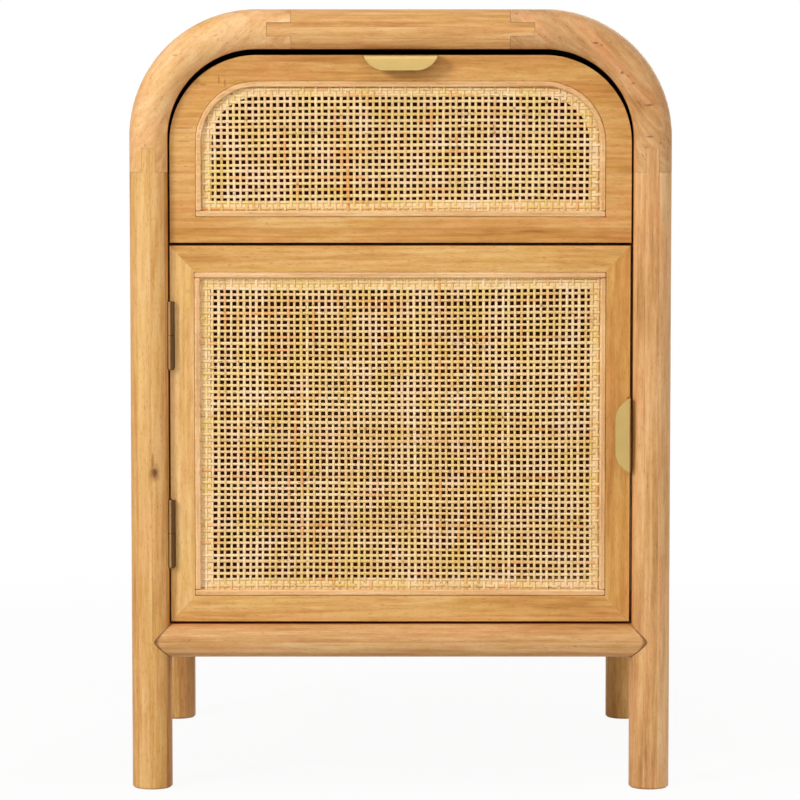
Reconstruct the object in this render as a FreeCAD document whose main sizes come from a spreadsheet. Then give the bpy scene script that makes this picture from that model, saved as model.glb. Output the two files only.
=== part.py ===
import FreeCAD, Part
import Sketcher
import os
import re

# A nightstand of round wooden tubes: an arched hoop in front and one behind, a panelled shell between
# them, a drawer with a caned front and, below it, a caned door on two butt hinges.
# Millimetres. X runs to the right, Y to the back and Z up. The origin is on the ground, under the middle.

# Driving dimensions
SIZES = {
    # Whole object
    "width": 450,
    "depth": 400,
    "height": 650,
    # Round tubes of the two hoops
    "tube": 33.5,
    "corner_radius": 105.5,
    "corner_straight": 29,
    "tongue_length": 20,
    "tongue_width": 11,
    "foot_ease": 1.5,
    "post_flat": 1.9,
    "top_flat": 0.7,
    "glue_line": 0.12,
    # Bottom rails and the dowels that hold them
    "rail": 27.5,
    "rail_height": 124.2,
    "rail_set_back": 0.1,
    "dowel": 8,
    "dowel_length": 36,
    "dowel_depth": 11,
    "dowel_room": 0.1,
    # Panels of the shell
    "shell_thickness": 15,
    "shell_recess": 5,
    "back_thickness": 5,
    "back_groove": 6,
    "groove_room": 0.15,
    "floor_thickness": 12,
    "divider_thickness": 15,
    "divider_housing": 5,
    # Drawer front and door
    "front_thickness": 20,
    "front_recess": 14,
    "front_gap": 2.6,
    "stop_gap": 0.3,
    "drawer_side_gap": 1.8,
    "drawer_top_gap": 5,
    "drawer_height": 155.15,
    "drawer_margin": 21.2,
    "door_bottom_gap": 2.1,
    "door_hinge_gap": 1.6,
    "door_pull_gap": 2.4,
    "door_stile_face": 20,
    "door_rail_face": 21.7,
    # Cane and the beads that hold it down
    "bead_width": 4.8,
    "bead_proud": 0.6,
    "ledge_width": 8.5,
    "rebate_depth": 4,
    "cane_thickness": 1.2,
    "cane_room": 0.2,
    # Drawer box
    "drawer_board": 12,
    "drawer_base_thickness": 6,
    "drawer_base_housing": 5,
    "drawer_base_rise": 6,
    "drawer_box_gap": 7.4,
    "drawer_box_lift": 2,
    "drawer_box_drop": 53.15,
    "drawer_back_gap": 26.5,
    "inner_front_drop": 27.15,
    # Side runners
    "runner_height": 12.4,
    "runner_back_gap": 6.2,
    "runner_entry": 6.5,
    "runner_room": 0.3,
    "runner_stop": 16,
    "runner_drop": 50,
    # Butt hinges
    "barrel": 6,
    "pin": 2.8,
    "pin_room": 0.05,
    "pin_head": 4.6,
    "pin_head_height": 1,
    "leaf_thickness": 1.2,
    "leaf_width": 12.5,
    "leaf_height": 56,
    "leaf_room": 0.1,
    "knuckle_gap": 0.4,
    "barrel_inset": 2.4,
    "barrel_proud": 2.75,
    "hinge_inset_share": 0.2363,
    "hinge_screw_pitch": 20,
    "hinge_screw_reach": 8,
    # Pulls
    "pull_length": 62,
    "pull_drop": 12.7,
    "pull_plate": 2,
    "pull_reach": 14,
    "pull_flange": 14,
    "pull_bend": 1.5,
    "pull_corner": 19.2,
    "pull_room": 0.1,
    "pull_screw_pitch": 40,
    "pull_screw_inset": 8,
    # Magnetic catch and its strike
    "catch_length": 46,
    "catch_depth": 14,
    "catch_height": 12,
    "catch_gap": 0.4,
    "catch_body": 24,
    "catch_flange": 2.5,
    "catch_inset": 30,
    "catch_screw_pitch": 34,
    "strike_length": 36,
    "strike_height": 14,
    "strike_thickness": 1,
    "strike_screw_pitch": 22,
    # Screws
    "screw": 3.2,
    "screw_head": 6.4,
    "screw_head_height": 1.8,
    "runner_screw_length": 33,
    "front_screw_length": 26,
    "front_screw_pitch": 80,
    "small_screw": 2.4,
    "small_screw_head": 4.6,
    "small_screw_length": 12,
    "screw_room": 0.1,
    # How far cutting shapes run past what they cut
    "overrun": 2,
}

# Values worked out from the driving dimensions
WORKED = {
    "tube_r": "tube / 2",
    "post_x": "width / 2 - tube_r",
    "post_y": "depth / 2 - tube_r",
    "tube_top": "height - tube_r",
    "bend_r": "corner_radius - tube_r",
    "bend_x": "width / 2 - corner_radius",
    "bend_z": "height - corner_radius",
    "joint_x": "bend_x - corner_straight",
    "joint_z": "bend_z - corner_straight",
    "cope_r": "tube_r + glue_line",
    "tongue_half": "tongue_width / 2",
    "slot_half": "tongue_half + glue_line",
    "tube_reach": "tube_r + overrun",
    "rail_r": "rail / 2",
    "rail_x": "width / 2 - rail_r - rail_set_back",
    "rail_y": "depth / 2 - rail_r - rail_set_back",
    "rail_top": "rail_height + rail_r",
    "rail_cope_r": "rail_r + glue_line",
    "dowel_r": "dowel / 2",
    "dowel_tip_x": "post_x - tube_r + dowel_depth",
    "dowel_tip_y": "post_y - tube_r + dowel_depth",
    "opening_x": "width / 2 - tube + post_flat",
    "opening_top": "height - tube + top_flat",
    "opening_r": "corner_radius - tube + post_flat",
    "shell_out": "width / 2 - shell_recess",
    "shell_in": "shell_out - shell_thickness",
    "shell_top": "height - shell_recess",
    "shell_under": "shell_top - shell_thickness",
    "shell_out_r": "corner_radius - shell_recess",
    "shell_in_r": "shell_out_r - shell_thickness",
    "back_x": "post_x - tube_r + back_groove",
    "back_top": "tube_top - tube_r + back_groove",
    "back_r": "bend_r - tube_r + back_groove",
    "back_bottom": "rail_top - back_groove",
    "back_front": "post_y - back_thickness / 2",
    "back_rear": "post_y + back_thickness / 2",
    "front_y": "front_recess - depth / 2",
    "front_back": "front_y + front_thickness",
    "rebate_floor": "front_y + rebate_depth",
    "cane_face": "rebate_floor - cane_thickness",
    "bead_face": "front_y - bead_proud",
    "ledge_reach": "bead_width + ledge_width",
    "drawer_x": "opening_x - drawer_side_gap",
    "drawer_r": "opening_r - drawer_side_gap",
    "drawer_top": "opening_top - drawer_top_gap",
    "drawer_bottom": "drawer_top - drawer_height",
    "door_left": "door_hinge_gap - opening_x",
    "door_right": "opening_x - door_pull_gap",
    "door_bottom": "rail_top + door_bottom_gap",
    "door_top": "drawer_bottom - front_gap",
    "door_middle": "(door_bottom + door_top) / 2",
    "door_bay_left": "door_left + door_stile_face",
    "door_bay_right": "door_right - door_stile_face",
    "door_bay_bottom": "door_bottom + door_rail_face",
    "door_bay_top": "door_top - door_rail_face",
    "window_left": "door_bay_left + ledge_reach",
    "window_right": "door_bay_right - ledge_reach",
    "window_bottom": "door_bay_bottom + ledge_reach",
    "window_top": "door_bay_top - ledge_reach",
    "drawer_bay_x": "drawer_x - drawer_margin",
    "drawer_bay_r": "drawer_r - drawer_margin",
    "drawer_bay_low": "drawer_bottom + drawer_margin",
    "drawer_bay_high": "drawer_top - drawer_margin",
    "divider_top": "drawer_bottom - front_gap / 2",
    "divider_under": "divider_top - divider_thickness",
    "divider_front": "front_back + stop_gap",
    "box_x": "opening_x - drawer_box_gap",
    "box_in": "box_x - drawer_board",
    "box_bottom": "drawer_bottom + drawer_box_lift",
    "box_top": "drawer_top - drawer_box_drop",
    "back_post_face": "post_y - tube_r",
    "box_rear": "back_post_face - drawer_back_gap",
    "base_under": "box_bottom + drawer_base_rise",
    "base_top": "base_under + drawer_base_thickness",
    "inner_back": "front_back + drawer_board",
    "inner_top": "drawer_top - inner_front_drop",
    "runner_middle": "box_top - runner_drop",
    "runner_under": "runner_middle - runner_height / 2",
    "runner_upper": "runner_middle + runner_height / 2",
    "runner_face": "box_x - runner_entry",
    "runner_front": "front_back + runner_stop + runner_room",
    "runner_rear": "back_post_face - runner_back_gap",
    "hinge_inset": "(door_top - door_bottom) * hinge_inset_share",
    "barrel_r": "barrel / 2",
    "pin_r": "pin / 2",
    "axis_x": "barrel_inset - opening_x",
    "axis_y": "front_y - barrel_proud",
    "post_leaf_out": "axis_x - barrel_r",
    "post_leaf_in": "post_leaf_out + leaf_thickness",
    "door_leaf_in": "axis_x + barrel_r",
    "door_leaf_out": "door_leaf_in - leaf_thickness",
    "leaf_rear": "axis_y + leaf_width",
    "leaf_half": "leaf_height / 2",
    "pull_half": "pull_length / 2",
    "pull_bend_out": "pull_bend + pull_plate",
    "pull_corner_at": "pull_half - sqrt(pull_corner ^ 2 - (pull_corner - pull_drop) ^ 2)",
    "pull_front": "front_y - pull_reach",
    "pull_rear": "front_y + pull_flange",
    "pull_screw_y": "front_y + pull_screw_inset",
    "catch_right": "door_bay_right - catch_inset",
    "catch_left": "catch_right - catch_length",
    "catch_middle": "(catch_left + catch_right) / 2",
    "catch_front": "front_back + strike_thickness + catch_gap",
    "catch_rear": "catch_front + catch_depth",
    "catch_under": "divider_under - catch_height",
    "strike_top": "divider_under - catch_gap",
    "strike_rear": "front_back + strike_thickness",
}

SIDES = {"left": -1, "right": 1}
ENDS = {"front": -1, "back": 1}
X_AXIS = FreeCAD.Vector(1, 0, 0)
Y_AXIS = FreeCAD.Vector(0, 1, 0)
RIGHT_ANGLE = 90
TURNS = {
    "+x": FreeCAD.Rotation(Y_AXIS, RIGHT_ANGLE),
    "-x": FreeCAD.Rotation(Y_AXIS, -RIGHT_ANGLE),
    "+y": FreeCAD.Rotation(X_AXIS, -RIGHT_ANGLE),
    "-y": FreeCAD.Rotation(X_AXIS, RIGHT_ANGLE),
    "+z": FreeCAD.Rotation(),
    "-z": FreeCAD.Rotation(X_AXIS, 2 * RIGHT_ANGLE),
}
# Places of screws: along a runner as shares of its length, and else as shares of their pitch
RUNNER_SCREW_SHARES = (0.113, 0.5, 0.887)
HINGE_SCREW_SHARES = (-1, 0, 1)
FRONT_SCREW_SHARES = (-1.5, -0.5, 0.5, 1.5)
# The open weave of the door's cane as a coarse grid: openings across and up, and the open share of a cell
CANE_COLUMNS = 12
CANE_ROWS = 9
CANE_OPEN_SHARE = 0.5
# Quarter turns in the plane of a hoop, from the side of the object up to its top
QUARTERS = {
    1: FreeCAD.Rotation(X_AXIS, RIGHT_ANGLE),
    -1: FreeCAD.Rotation(Y_AXIS, -RIGHT_ANGLE) * FreeCAD.Rotation(X_AXIS, RIGHT_ANGLE),
}

doc = FreeCAD.newDocument("nightstand")
sheet = doc.addObject("Spreadsheet::Sheet", "Sizes")
worked = doc.addObject("App::VarSet", "Worked")
holders = {name: "Sizes" for name in SIZES} | {name: "Worked" for name in WORKED}
nodes = []


def bound(text):
    """Puts the holder of each named size in front of its name in an expression."""
    def with_holder(match):
        name = match[0]
        return f"{holders[name]}.{name}" if name in holders else name

    return re.sub(r"[a-z]\w*", with_holder, text)


def fill_sizes():
    """Fills the sheet with the driving dimensions and binds the worked-out values to them."""
    for row, (name, value) in enumerate(SIZES.items(), start=1):
        sheet.set(f"A{row}", name)
        sheet.set(f"B{row}", str(value))
        sheet.setAlias(f"B{row}", name)
    doc.recompute()
    for name, text in WORKED.items():
        worked.addProperty("App::PropertyFloat", name, "Worked")
        worked.setExpression(name, bound(text))
    doc.recompute()


def sided(sign, near, far):
    """Low and high ends of a stretch from near to far, on the plus or the minus side of the middle."""
    if sign > 0:
        return near, far
    return f"-({far})", f"-({near})"


def about(middle, half):
    """Low and high ends of a stretch that reaches half to each side of its middle."""
    return f"({middle}) - ({half})", f"({middle}) + ({half})"


def placed(solid, point, turn):
    """Turns a primitive and binds its corner or base centre to a point."""
    solid.Placement = FreeCAD.Placement(FreeCAD.Vector(), turn)
    for axis, text in zip("xyz", point):
        solid.setExpression(f"Placement.Base.{axis}", bound(text))
    return solid


def box(name, x_span, y_span, z_span):
    """A block between the given ends."""
    solid = doc.addObject("Part::Box", name)
    for side, (low, high) in zip(("Length", "Width", "Height"), (x_span, y_span, z_span)):
        solid.setExpression(side, bound(f"({high}) - ({low})"))
    return placed(solid, (x_span[0], y_span[0], z_span[0]), TURNS["+z"])


def rod(name, direction, radius, length, point):
    """A round bar that runs from a point in one of the six directions."""
    solid = doc.addObject("Part::Cylinder", name)
    solid.setExpression("Radius", bound(radius))
    solid.setExpression("Height", bound(length))
    return placed(solid, point, TURNS[direction])


def cone(name, direction, radius, end_radius, length, point):
    """A tapered bar that runs from a point in one of the six directions."""
    solid = doc.addObject("Part::Cone", name)
    solid.setExpression("Radius1", bound(radius))
    solid.setExpression("Radius2", bound(end_radius))
    solid.setExpression("Height", bound(length))
    return placed(solid, point, TURNS[direction])


def elbow(name, sign, radius, y):
    """A quarter ring of round tube about a corner's centre."""
    solid = doc.addObject("Part::Torus", name)
    solid.setExpression("Radius1", bound("bend_r"))
    solid.setExpression("Radius2", bound(radius))
    solid.Angle3 = RIGHT_ANGLE
    return placed(solid, (f"{sign} * bend_x", y, "bend_z"), QUARTERS[sign])


def quarter(name, sign, radius, y_span):
    """A quarter of a solid cylinder about a corner's centre."""
    solid = doc.addObject("Part::Cylinder", name)
    solid.setExpression("Radius", bound(radius))
    solid.setExpression("Height", bound(f"({y_span[1]}) - ({y_span[0]})"))
    solid.Angle = RIGHT_ANGLE
    return placed(solid, (f"{sign} * bend_x", y_span[1], "bend_z"), QUARTERS[sign])


def joined(name, solids):
    """Several shapes fused into one, or the shape itself when it is alone."""
    if len(solids) == 1:
        return solids[0]
    whole = doc.addObject("Part::MultiFuse", name)
    whole.Shapes = solids
    whole.Refine = True
    return whole


def cut(name, base, tools):
    """A shape less all of the tools."""
    rest = doc.addObject("Part::Cut", name)
    rest.Base = base
    rest.Tool = joined(f"{name}_tool", tools)
    return rest


def common(name, solids):
    """What several shapes share."""
    shared = doc.addObject("Part::MultiCommon", name)
    shared.Shapes = solids
    return shared


def group(name, solids):
    """Separate solids kept together as one sub-part."""
    bundle = doc.addObject("Part::Compound", name)
    bundle.Links = solids
    return bundle


def node(solid, name):
    """Marks a finished sub-part and gives it the name that its file takes."""
    solid.Label = name
    nodes.append(solid)
    return solid


def prism(name, points, y_span):
    """A padded outline in the XZ plane, with each corner bound to named sizes."""
    body = doc.addObject("PartDesign::Body", name)
    plane = next(item for item in body.Origin.OriginFeatures if item.Role == "XZ_Plane")
    sketch = body.newObject("Sketcher::SketchObject", f"{name}_outline")
    sketch.AttachmentSupport = [(plane, "")]
    sketch.MapMode = "FlatFace"
    corners = [corner_guess(point) for point in points]
    for start, end in zip(corners, corners[1:] + corners[:1]):
        sketch.addGeometry(Part.LineSegment(start, end), False)
    # In a constraint, 1 is the start of a line, 2 its end, and (-1, 1) the outline's own origin.
    for index, (across, up) in enumerate(points):
        previous = (index - 1) % len(points)
        sketch.addConstraint(Sketcher.Constraint("Coincident", previous, 2, index, 1))
        places = {"DistanceX": (corners[index].x, across), "DistanceY": (corners[index].y, up)}
        for kind, (value, text) in places.items():
            number = sketch.addConstraint(Sketcher.Constraint(kind, -1, 1, index, 1, value))
            sketch.setExpression(f"Constraints[{number}]", bound(text))
    pad = body.newObject("PartDesign::Pad", f"{name}_pad")
    pad.Profile = sketch
    pad.setExpression("Length", bound(f"({y_span[1]}) - ({y_span[0]})"))
    body.setExpression("Placement.Base.y", bound(y_span[1]))
    return body


def corner_guess(point):
    """The place of an outline's corner, read from the worked-out values that bind it."""
    return FreeCAD.Vector(getattr(worked, point[0]), getattr(worked, point[1]), 0)


def arch(name, half, bottom, top, radius, y_span):
    """A plate with a square foot and two round top corners."""
    spring = f"({top}) - ({radius})"
    inner = f"({half}) - ({radius})"
    pieces = [
        box(f"{name}_foot", about("0", half), y_span, (bottom, spring)),
        box(f"{name}_crown", about("0", inner), y_span, (spring, top)),
    ]
    for side, sign in SIDES.items():
        length = f"({y_span[1]}) - ({y_span[0]})"
        point = (f"{sign} * ({inner})", y_span[0], spring)
        pieces.append(rod(f"{name}_{side}_round", "+y", radius, length, point))
    return joined(name, pieces)


def cell_openings(span, count):
    """Low and high ends of the openings in a row of equal cells over a span."""
    low, high = span
    openings = []
    for index in range(count):
        shares = [(index + (1 + sign * CANE_OPEN_SHARE) / 2) / count for sign in SIDES.values()]
        openings.append([f"{low} + {share} * (({high}) - ({low}))" for share in shares])
    return openings


def lattice(name, x_span, z_span):
    """The openings of an open weave, where its columns and its rows of openings cross."""
    through = ("cane_face - overrun", "rebate_floor + overrun")
    columns = [box(f"{name}_column", ends, through, z_span) for ends in cell_openings(x_span, CANE_COLUMNS)]
    rows = [box(f"{name}_row", x_span, through, ends) for ends in cell_openings(z_span, CANE_ROWS)]
    return common(name, [group(f"{name}_columns", columns), group(f"{name}_rows", rows)])


def screw(name, direction, point, kind, head_height, length):
    """A countersunk screw and the slightly larger room that it needs. The point is the middle of its head."""
    built = []
    for suffix, room in (("", "0"), ("_room", "screw_room")):
        shank_r = f"{kind} / 2 + {room}"
        head_r = f"{kind}_head / 2 + {room}"
        head = cone(f"{name}_head{suffix}", direction, head_r, shank_r, head_height, point)
        shank = rod(f"{name}_shank{suffix}", direction, shank_r, f"{length} + {room}", point)
        built.append(joined(f"{name}{suffix}", [head, shank]))
    return built


def opening_tool():
    """The space that the front hoop leaves free, which planes a flat on its tubes."""
    y_span = ("-post_y - tube_reach", "-post_y + tube_reach")
    return arch("opening", "opening_x", "rail_top", "opening_top", "opening_r", y_span)


def back_room_tool():
    """The grooves that hold the back panel, as one plate a little larger than the panel."""
    y_span = ("back_front - groove_room", "back_rear + groove_room")
    edges = [f"{name} + groove_room" for name in ("back_x", "back_top", "back_r")]
    return arch("back_room", edges[0], "back_bottom - groove_room", edges[1], edges[2], y_span)


def hoop_copes(end):
    """The tubes of one hoop, a glue line thicker, to shape what meets them."""
    y = f"{ENDS[end]} * post_y"
    copes = {"top": rod(f"{end}_top_cope", "+x", "cope_r", "2 * bend_x", ("-bend_x", y, "tube_top"))}
    for side, sign in SIDES.items():
        copes[side] = rod(f"{end}_{side}_cope", "+z", "cope_r", "bend_z", (f"{sign} * post_x", y, "0"))
        copes[f"{side}_elbow"] = elbow(f"{end}_{side}_elbow_cope", sign, "cope_r", y)
    return copes


def dowels(end, side):
    """The two dowels of one post and their bores: one for the rail across and one for the side rail."""
    x_sign = SIDES[side]
    y_sign = ENDS[end]
    across = "-x" if x_sign > 0 else "+x"
    along = "-y" if y_sign > 0 else "+y"
    pairs = {}
    for rail, direction in (("across", across), ("along", along)):
        built = []
        for suffix, room in (("", "0"), ("_bore", "dowel_room")):
            if rail == "across":
                point = (f"{x_sign} * (dowel_tip_x + {room})", f"{y_sign} * rail_y", "rail_height")
            else:
                point = (f"{x_sign} * rail_x", f"{y_sign} * (dowel_tip_y + {room})", "rail_height")
            name = f"{end}_{side}_{rail}_dowel{suffix}"
            built.append(rod(name, direction, f"dowel_r + {room}", f"dowel_length + 2 * {room}", point))
        pairs[rail] = built
    return pairs


def post(end, side, tools):
    """An upright tube: eased at the foot and cut to a tongue at its top."""
    name = f"{end}_{side}_post"
    x = f"{SIDES[side]} * post_x"
    y = f"{ENDS[end]} * post_y"
    length = "joint_z + tongue_length - foot_ease"
    shank = rod(f"{name}_shank", "+z", "tube_r", length, (x, y, "foot_ease"))
    foot = cone(f"{name}_foot", "+z", "tube_r - foot_ease", "tube_r", "foot_ease", (x, y, "0"))
    cheek_z = ("joint_z", "joint_z + tongue_length + overrun")
    cheeks = []
    for sign in SIDES.values():
        near, far = sided(sign, "tongue_half", "tube_reach")
        cheek_x = (f"{x} + ({near})", f"{x} + ({far})")
        cheeks.append(box(f"{name}_cheek", cheek_x, about(y, "tube_reach"), cheek_z))
    return node(cut(name, joined(f"{name}_blank", [shank, foot]), cheeks + tools), name)


def corner(end, side, tools):
    """A bent tube with a straight end at each side, slotted for the tongues of its neighbours."""
    name = f"{end}_{side}_corner"
    sign = SIDES[side]
    y = f"{ENDS[end]} * post_y"
    straight = "corner_straight - glue_line"
    inward = "-x" if sign > 0 else "+x"
    bend = elbow(f"{name}_bend", sign, "tube_r", y)
    down = rod(f"{name}_down", "-z", "tube_r", straight, (f"{sign} * post_x", y, "bend_z"))
    level = rod(f"{name}_level", inward, "tube_r", straight, (f"{sign} * bend_x", y, "tube_top"))
    through = about(y, "tube_reach")
    down_z = ("joint_z - overrun", "joint_z + tongue_length + glue_line")
    level_x = sided(sign, "joint_x - overrun", "joint_x + tongue_length + glue_line")
    slots = [
        box(f"{name}_down_slot", about(f"{sign} * post_x", "slot_half"), through, down_z),
        box(f"{name}_level_slot", level_x, through, about("tube_top", "slot_half")),
    ]
    return node(cut(name, joined(f"{name}_blank", [bend, down, level]), slots + tools), name)


def top_rail(end, tools):
    """The straight tube across the top, with a tongue at each end."""
    name = f"{end}_top_rail"
    y = f"{ENDS[end]} * post_y"
    half = "joint_x + tongue_length"
    blank = rod(f"{name}_blank", "+x", "tube_r", f"2 * ({half})", (f"-({half})", y, "tube_top"))
    cheeks = []
    for x_sign in SIDES.values():
        cheek_x = sided(x_sign, "joint_x", "joint_x + tongue_length + overrun")
        for z_sign in SIDES.values():
            near, far = sided(z_sign, "tongue_half", "tube_reach")
            cheek_z = (f"tube_top + ({near})", f"tube_top + ({far})")
            cheeks.append(box(f"{name}_cheek", cheek_x, about(y, "tube_reach"), cheek_z))
    return node(cut(name, blank, cheeks + tools), name)


def cross_rail_blank(end, radius):
    """The round bar of the bottom rail across the front or the back."""
    point = ("-post_x", f"{ENDS[end]} * rail_y", "rail_height")
    return rod(f"{end}_cross_rail", "+x", radius, "2 * post_x", point)


def side_rail_blank(side, radius):
    """The round bar of the bottom rail along one side."""
    point = (f"{SIDES[side]} * rail_x", "-post_y", "rail_height")
    return rod(f"{side}_side_rail", "+y", radius, "2 * post_y", point)


def build_frame(copes, rail_copes, hinge_rooms):
    """The two hoops, the four bottom rails and their dowels."""
    opening = opening_tool()
    back_room = back_room_tool()
    pegs = {(end, side): dowels(end, side) for end in ENDS for side in SIDES}
    for (end, side), pair in pegs.items():
        bores = [pair["across"][1], pair["along"][1]]
        edge_tools = [opening] if end == "front" else [back_room]
        hinge_tools = hinge_rooms if (end, side) == ("front", "left") else []
        post(end, side, edge_tools + bores + hinge_tools)
        corner(end, side, edge_tools)
    for end in ENDS:
        top_rail(end, [opening] if end == "front" else [back_room])
        name = f"{end}_bottom_rail"
        tools = [copes[end][side] for side in SIDES] + [pegs[end, side]["across"][1] for side in SIDES]
        if end == "back":
            tools.append(back_room)
        node(cut(name, cross_rail_blank(end, "rail_r"), tools), name)
    for side in SIDES:
        name = f"{side}_bottom_rail"
        tools = [copes[end][side] for end in ENDS] + [rail_copes[end] for end in ENDS]
        tools += [pegs[end, side]["along"][1] for end in ENDS]
        node(cut(name, side_rail_blank(side, "rail_r"), tools), name)
    pins = [pair[rail][0] for pair in pegs.values() for rail in pair]
    node(group("rail_dowels", pins), "rail_dowels")
    return back_room


def build_shell(copes, rail_copes, back_room, runner_rooms, catch_rooms):
    """The panels between the hoops, coped to the tubes, with the divider and the cupboard floor."""
    between = ("-post_y", "post_y")
    post_copes = [copes[end][side] for end in ENDS for side in SIDES]
    housing_x = about("0", "shell_in + divider_housing + groove_room")
    housing_z = ("divider_under - groove_room", "divider_top + groove_room")
    housing = box("divider_housing_room", housing_x, ("divider_front - groove_room", "post_y"), housing_z)
    for side, sign in SIDES.items():
        name = f"{side}_side_panel"
        blank = box(f"{name}_blank", sided(sign, "shell_in", "shell_out"), between, ("rail_height", "bend_z"))
        tools = [copes[end][side] for end in ENDS] + [rail_copes[side], housing] + runner_rooms[side]
        node(cut(name, blank, tools), name)
        name = f"{side}_shoulder_panel"
        inside = quarter(f"{name}_inside", sign, "shell_in_r", ("-post_y - overrun", "post_y + overrun"))
        tools = [inside] + [copes[end][f"{side}_elbow"] for end in ENDS]
        node(cut(name, quarter(f"{name}_blank", sign, "shell_out_r", between), tools), name)
    top = box("top_panel_blank", ("-bend_x", "bend_x"), between, ("shell_under", "shell_top"))
    node(cut("top_panel", top, [copes[end]["top"] for end in ENDS]), "top_panel")
    back = arch("back_panel", "back_x", "back_bottom", "back_top", "back_r", ("back_front", "back_rear"))
    node(back, "back_panel")
    floor_z = ("rail_top - floor_thickness", "rail_top")
    floor = box("cupboard_floor_blank", ("-shell_in", "shell_in"), ("-rail_y", "rail_y"), floor_z)
    node(cut("cupboard_floor", floor, post_copes + list(rail_copes.values()) + [back_room]), "cupboard_floor")
    divider_x = about("0", "shell_in + divider_housing")
    divider_y = ("divider_front", "back_front - groove_room")
    divider = box("drawer_divider_blank", divider_x, divider_y, ("divider_under", "divider_top"))
    node(cut("drawer_divider", divider, post_copes + catch_rooms), "drawer_divider")


def build_runners():
    """The two battens that carry the drawer, with their screws. Gives the screws' rooms by side."""
    screws = []
    rooms = {}
    for side, sign in SIDES.items():
        name = f"{side}_drawer_runner"
        direction = "+x" if sign > 0 else "-x"
        pairs = []
        for share in RUNNER_SCREW_SHARES:
            screw_y = f"runner_front + {share} * (runner_rear - runner_front)"
            point = (f"{sign} * runner_face", screw_y, "runner_middle")
            sizes = ("screw", "screw_head_height", "runner_screw_length")
            pairs.append(screw(f"{name}_screw", direction, point, *sizes))
        screws += [pair[0] for pair in pairs]
        rooms[side] = [pair[1] for pair in pairs]
        batten_x = sided(sign, "runner_face", "shell_in")
        batten_z = ("runner_under", "runner_upper")
        batten = box(f"{name}_blank", batten_x, ("runner_front", "runner_rear"), batten_z)
        node(cut(name, batten, rooms[side]), name)
    node(group("runner_screws", screws), "runner_screws")
    return rooms


def build_catch():
    """The magnetic catch under the divider. Gives the rooms of its screws."""
    pairs = []
    for sign in SIDES.values():
        screw_x = f"catch_middle + {sign} * catch_screw_pitch / 2"
        point = (screw_x, "(catch_front + catch_rear) / 2", "divider_under - catch_flange")
        sizes = ("small_screw", "catch_flange", "small_screw_length")
        pairs.append(screw("catch_screw", "+z", point, *sizes))
    rooms = [pair[1] for pair in pairs]
    y_span = ("catch_front", "catch_rear")
    flange_z = ("divider_under - catch_flange", "divider_under")
    flange = box("catch_flange", ("catch_left", "catch_right"), y_span, flange_z)
    magnet_x = about("catch_middle", "catch_body / 2")
    magnet = box("catch_magnet", magnet_x, y_span, ("catch_under", "divider_under"))
    node(cut("magnetic_catch", joined("catch_blank", [flange, magnet]), rooms), "magnetic_catch")
    node(group("catch_screws", [pair[0] for pair in pairs]), "catch_screws")
    return rooms


def hinge_leaf(name, plate_x, knuckle_z, leaf_z, rooms):
    """One leaf of a butt hinge: the plate, its knuckle and the bore for the pin."""
    plate = box(f"{name}_plate", plate_x, ("axis_y + barrel_r + knuckle_gap", "leaf_rear"), leaf_z)
    web = box(f"{name}_web", plate_x, ("axis_y", "leaf_rear"), knuckle_z)
    length = f"({knuckle_z[1]}) - ({knuckle_z[0]})"
    knuckle = rod(f"{name}_knuckle", "+z", "barrel_r", length, ("axis_x", "axis_y", knuckle_z[0]))
    bore_start = ("axis_x", "axis_y", f"{leaf_z[0]} - overrun")
    bore = rod(f"{name}_bore", "+z", "pin_r + pin_room", "leaf_height + 2 * overrun", bore_start)
    return cut(name, joined(f"{name}_blank", [plate, web, knuckle]), [bore] + rooms)


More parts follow.
